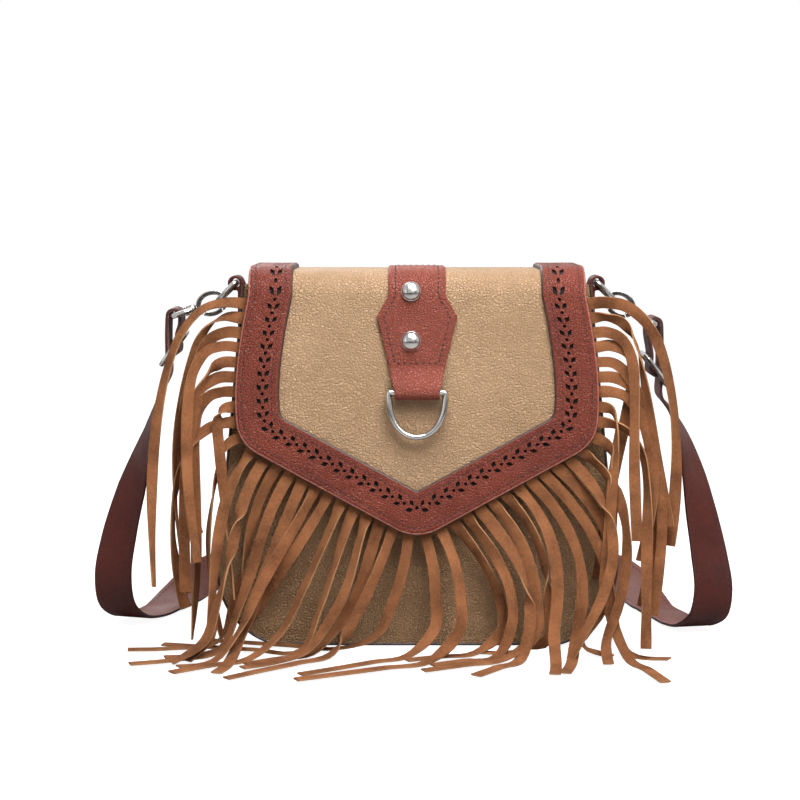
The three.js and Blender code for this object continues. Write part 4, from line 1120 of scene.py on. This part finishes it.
# Each strip's own lie, in hundredths: its lean to the right and back, the turn of its face, its
# length and its turn on the floor
OWN_LIE = (
    (3, -1, -1, -1, 13), (20, -15, -20, -13, 7), (-1, -18, 10, -2, -30), (-10, 14, 37, 12, 72),
    (1, -12, 3, 5, 16), (3, 4, 24, 1, 35), (-2, 2, -6, -10, 37), (0, -5, 4, 1, 25), (-3, -19, 11, 7, -25),
    (8, 2, -22, 12, 1), (-1, -5, 7, -6, 24), (-6, 0, -21, -8, -2), (-1, 4, 58, -10, 106), (0, 7, 30, 7, 69),
    (0, 0, 0, 0, 0), (0, 0, 0, 0, 0), (7, -5, 17, -8, -80), (-1, 0, 18, 0, -12), (1, -14, -60, -6, 47),
    (-5, 4, -1, 1, -7), (3, 3, 21, -1, -12), (-21, -17, -14, 11, -18), (0, 0, 0, 0, 0),
    (-11, 1, 42, 12, -79), (-2, -3, -9, 2, 30), (1, 5, 6, -3, 74), (1, 1, -3, -2, 11), (-1, 3, 16, 12, -79),
    (2, 6, 16, -2, 20), (-5, 1, -8, -3, 2), (0, 2, 12, 1, 4), (5, -3, 6, -7, 115), (-8, 2, 4, -5, -10),
    (-10, 10, -13, 1, -39), (-8, -2, -25, -8, -15), (1, -6, 30, -16, 18), (-2, 14, 11, -12, 66),
    (0, 2, 6, -6, 7), (1, -1, 9, -2, 3), (0, 13, 0, -11, -27), (-6, 6, 12, 12, -46), (-2, -9, 13, -5, 38),
    (-2, -4, -14, 4, 0), (2, 9, 0, -1, 5), (-5, -5, -22, 12, 55), (-3, -16, 4, 12, 1),
)


def turned_flat(way, angle):
    c, s = cos(angle), sin(angle)
    return vec(way.x * c - way.y * s, way.x * s + way.y * c, way.z)


def strip_line(run, strip, own, twist_share):
    lean_x, lean_y, face_turn, longer, floor_turn = [value / 100 for value in own]
    face, floor = turned_flat(strip["face"], face_turn), turned_flat(strip["floor"], floor_turn)
    length = strip["length"] * (1 + longer)
    spot2, tangent, outward = header_point(run)

    def on_face(v):
        return vec(v.x, v.y * DOWN_FLAP.y, v.y * DOWN_FLAP.z)

    heading, edgeway = on_face(outward), on_face(tangent)
    spot = on_flap(*spot2, HEADER_RISE + FRINGE_THICK / 2)
    points = [spot - heading * 3, spot + heading * (HEADER_EDGE + 1)]
    widths = [edgeway, edgeway]
    spot = points[-1].copy()
    done = 0
    for share in STRIP_STEPS:
        step = share * length / sum(STRIP_STEPS)
        run_here = done + step / 2
        done += step
        fall = 1 - exp(-((run_here / strip["stiff"]) ** 1.6))
        along = heading * (1 - fall) + DOWN * fall + strip["lean"](run_here / length) + vec(lean_x, lean_y, 0)
        along.normalize()
        room = spot.z - FLOOR_LAY
        if room + along.z * step < 0:
            sink = max(-room / step, -0.98)
            along.z = 0
            along = (along + floor).normalized() * sqrt(1 - sink * sink)
            along.z = sink
        spot = spot + along * step
        points.append(spot.copy())
        across = edgeway.lerp(face, smooth(run_here / (strip["stiff"] * 2.2)))
        across = squared(across, along)
        level = vec(-along.y, along.x, 0).normalized()
        if across.dot(widths[-1]) < 0:
            across.negate()
        if level.dot(across) < 0:
            level.negate()
        twist = 1.1 * twist_share * sin(4.5 * run_here / length + 9 * twist_share)
        across = across * cos(twist) + along.cross(across) * sin(twist)
        across = across.lerp(level, 1 - smooth((spot.z - FLOOR_LAY) / FLATTEN_HEIGHT))
        widths.append(across.normalized())
    return points, widths


def eased(values, per=5):
    last = len(values) - 1
    out = []
    for i in range(last):
        a, b = values[max(i - 1, 0)], values[i]
        c, d = values[i + 1], values[min(i + 2, last)]
        for k in range(per):
            t = k / per
            out.append(0.5 * ((2 * b) + (c - a) * t + (2 * a - 5 * b + 4 * c - d) * t * t
                              + (3 * b - a - 3 * c + d) * t ** 3))
    out.append(values[last].copy())
    return out


def strip_mesh(points, widths, number):
    points, widths = eased(points), eased(widths)
    last = len(points) - 1
    around = 2 * (STRIP_COLUMNS + 1)
    verts = []
    for i, point in enumerate(points):
        along = along_at(points, i)
        across = squared(widths[i], along)
        through = along.cross(across)
        t = i / last
        half = STRIP_WIDTH / 2 * (1 + 0.05 * wave(number, 7) + 0.04 * sin(9 * t + number))
        cup = 0.35 * wave(number, 6) * sin(pi * t)
        for side in (1, -1):
            for j in range(STRIP_COLUMNS + 1):
                u = (2 * j / STRIP_COLUMNS - 1) * side
                bow = cup * (1 - u * u) + side * FRINGE_THICK / 2 * (1 - 0.25 * u ** 4)
                verts.append(point + across * u * half + through * bow)
    marks = [int(j in (STRIP_COLUMNS, around - 1)) for j in range(around)] * last + [1, 1]
    return verts, skin(last + 1, around), marks


def fringe():
    shapes = []
    total = HEADER_RUNS[-1]
    count = int(total / STRIP_PITCH)
    margin = (total - (count - 1) * STRIP_PITCH) / 2
    for i in range(count):
        middle = margin + i * STRIP_PITCH
        from_top = min(middle, total - middle)
        share = 2 * from_top / total
        number = int(from_top / STRIP_PITCH)
        side = 1 if middle < total / 2 else -1
        strip = (side_strip if share < SIDE_SHARE else front_strip)(side, share, number)
        points, widths = strip_line(middle, strip, OWN_LIE[i % len(OWN_LIE)], wave(i, 8))
        shapes.append(strip_mesh(points, widths, number + (50 if side < 0 else 0)))
    return joined(shapes)


make("fringe_strips", fringe(), [SUEDE, SUEDE_EDGE], body="flap", slot="camel_suede",
     replaces=["fringe"], crease=55)


# Strap: its stages are x, y, z and the way of its width, laid flat, on edge or in between
STRAP_WIDTH = 20
STRAP_THICK = 1.8
FIT_WIRE = 1.6
LOOP_TURN = FIT_WIRE + 0.5 + STRAP_THICK / 2
SLIDER_BAR = 1.3
SLIDER_PITCH = 9
SLIDER_TILT = radians(36)
STRAP_SEAM_INSET = 2.2
EYE_REACH = 22
LAID = STRAP_THICK / 2 + 0.8
EDGE = STRAP_WIDTH / 2 + 0.4
RIGHT_FALL = [
    (125.5, 8.5, 109, 0.12, 1, 0), (132, 7, 96, 0.35, 0.94, 0), (137, 3, 78, 0.62, 0.78, 0),
    (140.5, -3, 58, 0.82, 0.57, 0), (143.5, -9, 39, 0.92, 0.4, 0), (145, -14, 23, 0.96, 0.28, 0),
    (143, -14, 11, 0.97, 0.22, 0), (138, -6, 4, 0.98, 0.2, 0), (133, 8, LAID, 0.98, 0.2, 0),
    (128.5, 26, LAID, 0.98, 0.2, 0), (124, 44, LAID, 0.98, 0.2, 0), (119, 63, 5.4, 0.9, 0.2, 0.38),
    (113, 84, 9.4, 0.5, 0.15, 0.8), (104, 106, EDGE, 0, 0, 1), (88, 130, EDGE, 0, 0, 1),
    (62, 149, EDGE, 0, 0, 1), (32, 160, EDGE, 0, 0, 1),
]
LEFT_FALL = [
    (-126, 8.5, 116, -0.15, 1, 0), (-132, 7.5, 98, -0.35, 0.94, 0), (-141, 5, 70, -0.75, 0.66, 0),
    (-147, 2, 47, -0.88, 0.47, 0), (-150, 0, 28, -0.94, 0.35, 0), (-149, 3, 13, -0.96, 0.3, 0),
    (-144.5, 12, 5, -0.96, 0.28, 0), (-138, 27, LAID, -0.94, 0.34, 0), (-131, 44, LAID, -0.94, 0.34, 0),
    (-123, 63, 5.4, -0.88, 0.3, 0.38), (-115, 84, 9.4, -0.5, 0.2, 0.8), (-105, 106, EDGE, 0, 0, 1),
    (-88, 130, EDGE, 0, 0, 1), (-62, 149, EDGE, 0, 0, 1), (-32, 160, EDGE, 0, 0, 1),
]
def doubled_end(side, tilt, drop):
    eye = side_eye(side) + downward(side, pi / 4) * SIDE_RING_REACH + downward(side, tilt) * EYE_REACH
    running = LOOP_TURN + 0.4
    bar_up = SLIDER_PITCH / 2 * cos(SLIDER_TILT)
    bar_x = eye.x + side * (running - SLIDER_PITCH / 2 * sin(SLIDER_TILT))
    bar_z = eye.z - drop + bar_up
    wrap = SLIDER_BAR + 0.4 + STRAP_THICK / 2
    spots = []
    for k in range(4):
        turn = radians(mix(-70, -180, k / 3))
        spots.append((bar_x + side * wrap * cos(turn), bar_z + wrap * sin(turn)))
    spots.append((bar_x - side * (wrap - 0.4), bar_z + 2 * bar_up))
    spots.append((eye.x - side * (LOOP_TURN - 0.1), mix(eye.z, bar_z, 0.25)))
    for k in range(8):
        turn = pi * (1 - k / 7)
        spots.append((eye.x + side * LOOP_TURN * cos(turn), eye.z + LOOP_TURN * sin(turn)))
    spots += [(eye.x + side * running, eye.z - down) for down in (drop * 0.4, drop, drop + SLIDER_PITCH)]
    return [(x, eye.y, z, 0, 1, 0) for x, z in spots]


# The same centripetal curve through the stages as the CAD strap's
def curve_point(spots, at):
    last = len(spots) - 1
    i = min(int(at), last - 1)
    t = at - i
    b, c = spots[i], spots[i + 1]
    a = spots[i - 1] if i else b * 2 - c
    d = spots[i + 2] if i + 2 <= last else c * 2 - b
    ab = max((b - a).length_squared ** 0.25, 1e-4)
    bc = max((c - b).length_squared ** 0.25, 1e-4)
    cd = max((d - c).length_squared ** 0.25, 1e-4)
    start = ((b - a) / ab - (c - a) / (ab + bc) + (c - b) / bc) * bc
    end = ((c - b) / bc - (d - b) / (bc + cd) + (d - c) / cd) * bc
    return (b * (2 * t ** 3 - 3 * t * t + 1) + start * (t ** 3 - 2 * t * t + t)
            + c * (3 * t * t - 2 * t ** 3) + end * (t ** 3 - t * t))


# Points along the strap, each with the way of its width and of its thickness
def strap_frames():
    per = 10
    left = doubled_end(-1, radians(18), 20) + LEFT_FALL
    right = doubled_end(1, radians(30), 26) + RIGHT_FALL
    stages = left + [(0, 163, EDGE, 0, 0, 1)] + right[::-1]
    spots = [vec(*stage[:3]) for stage in stages]
    ways = [vec(*stage[3:]) for stage in stages]
    points = []
    widths = []
    for i in range(len(stages) - 1):
        for k in range(per):
            points.append(curve_point(spots, i + k / per))
            widths.append(ways[i].lerp(ways[i + 1], k / per))
    points.append(spots[-1])
    widths.append(ways[-1])
    frames = []
    for i, point in enumerate(points):
        along = along_at(points, i)
        across = squared(widths[i], along)
        frames.append((point, across, along.cross(across)))
    return frames


STRAP_FRAMES = strap_frames()


def strap():
    across_steps = [-1, -0.985, -0.95, -0.88, -0.8, -0.6, -0.3, 0, 0.3, 0.6, 0.8, 0.88, 0.95, 0.985, 1]

    def place(i, j, side):
        point, across, through = STRAP_FRAMES[i]
        u = across_steps[j]
        edge = (1 - abs(u)) * STRAP_WIDTH / 2
        half = STRAP_THICK / 2 - 0.3 * max(1 - edge / 1.2, 0) ** 2
        half -= 0.12 * exp(-((edge - 2.2) / 0.6) ** 2)
        return point + across * u * STRAP_WIDTH / 2 + through * (half if side else -half)

    return shell(len(STRAP_FRAMES) - 1, len(across_steps) - 1, place)

make("strap_leather", strap(), [STRAP_INNER, STRAP, STRAP_EDGE], slot="strap_leather", replaces=["strap"],
     crease=60)
seams = []
for side in (-1, 1):
    for face in (-1, 1):
        out, rise = side * (STRAP_WIDTH / 2 - STRAP_SEAM_INSET), face * (STRAP_THICK / 2 - 0.1)
        seams.append(stitches([(point + across * out + through * rise, through * face)
                               for point, across, through in STRAP_FRAMES], *STRAP_SEAM))
make("strap_stitches", joined(seams), [THREAD])


# Floor, backdrop and light
def combined(tree, operation, first, second):
    node = tree.nodes.new("ShaderNodeMath")
    node.operation = operation
    tree.links.new(first, node.inputs[0])
    if isinstance(second, float):
        node.inputs[1].default_value = second
    else:
        tree.links.new(second, node.inputs[1])
    return node.outputs[0]


FLOOR_HALF = 6
FLOOR_Z = -0.0002
floor_mesh = bpy.data.meshes.new("floor")
CORNERS = ((-1, -1), (1, -1), (1, 1), (-1, 1))
floor_mesh.from_pydata([(x * FLOOR_HALF, y * FLOOR_HALF, FLOOR_Z) for x, y in CORNERS], [], [(0, 1, 2, 3)])
pale = bpy.data.materials.new("pale_floor")
pale.use_nodes = True
surface = pale.node_tree.nodes["Principled BSDF"]
surface.inputs["Base Color"].default_value = (0.5, 0.5, 0.5, 1)
surface.inputs["Roughness"].default_value = 0.85
surface.inputs["Emission Color"].default_value = (1, 1, 1, 1)
seen = pale.node_tree.nodes.new("ShaderNodeLightPath").outputs["Is Camera Ray"]
lift = combined(pale.node_tree, "MULTIPLY", seen, 0.93)
pale.node_tree.links.new(lift, surface.inputs["Emission Strength"])
floor_mesh.materials.append(pale)
floor = show("floor", floor_mesh)

# The world is white to the camera, bright in the metal and dim as light.
world = bpy.data.worlds.new("studio")
bpy.context.scene.world = world
world.use_nodes = True
tree = world.node_tree
background = tree.nodes["Background"]
background.inputs["Color"].default_value = (1, 1, 1, 1)
rays = tree.nodes.new("ShaderNodeLightPath").outputs
mirrored = combined(tree, "MULTIPLY", rays["Is Glossy Ray"], 0.75)
either = combined(tree, "MAXIMUM", rays["Is Camera Ray"], mirrored)
tree.links.new(combined(tree, "MAXIMUM", either, 0.07), background.inputs["Strength"])


def lamp(name, spot, aim, size, power):
    data = bpy.data.lights.new(name, "AREA")
    data.shape = "RECTANGLE"
    data.size, data.size_y = size
    data.energy = power
    item = show(name, data)
    item.location = spot
    item.rotation_euler = (Vector(aim) - Vector(spot)).to_track_quat("-Z", "Y").to_euler()


lamp("key_light", (0.3, -0.62, 0.72), (0, 0, 0.13), (0.5, 0.5), 4.4)
lamp("top_light", (0.04, -0.24, 0.56), (0, -0.04, 0.12), (0.4, 0.4), 4.3)
lamp("fill_light", (-0.9, -0.9, 0.4), (0, 0, 0.08), (0.6, 0.6), 0.8)
lamp("back_light", (-0.35, 0.85, 0.75), (0, 0.03, 0.08), (0.6, 0.6), 5)


# Dark cards beside the camera give the metal something to mirror.
def card(name, spot, size):
    mesh = bpy.data.meshes.new(name)
    w, h = size[0] / 2, size[1] / 2
    mesh.from_pydata([(-w, 0, -h), (w, 0, -h), (w, 0, h), (-w, 0, h)], [], [(0, 1, 2, 3)])
    dark = bpy.data.materials.new(name)
    dark.use_nodes = True
    surface = dark.node_tree.nodes["Principled BSDF"]
    surface.inputs["Base Color"].default_value = (0.02, 0.02, 0.022, 1)
    mesh.materials.append(dark)
    item = show(name, mesh)
    item.location = spot
    item.rotation_euler = (0, 0, atan2(spot[1], spot[0]) + QUARTER)
    item.visible_camera = False
    item.visible_diffuse = False
    item.visible_shadow = False


card("card_left", (-0.9, -1.3, 0.45), (0.35, 1.0))
card("card_right", (0.95, -1.2, 0.3), (0.4, 0.8))
card("card_front", (0.1, -1.5, 0.02), (1.3, 0.4))
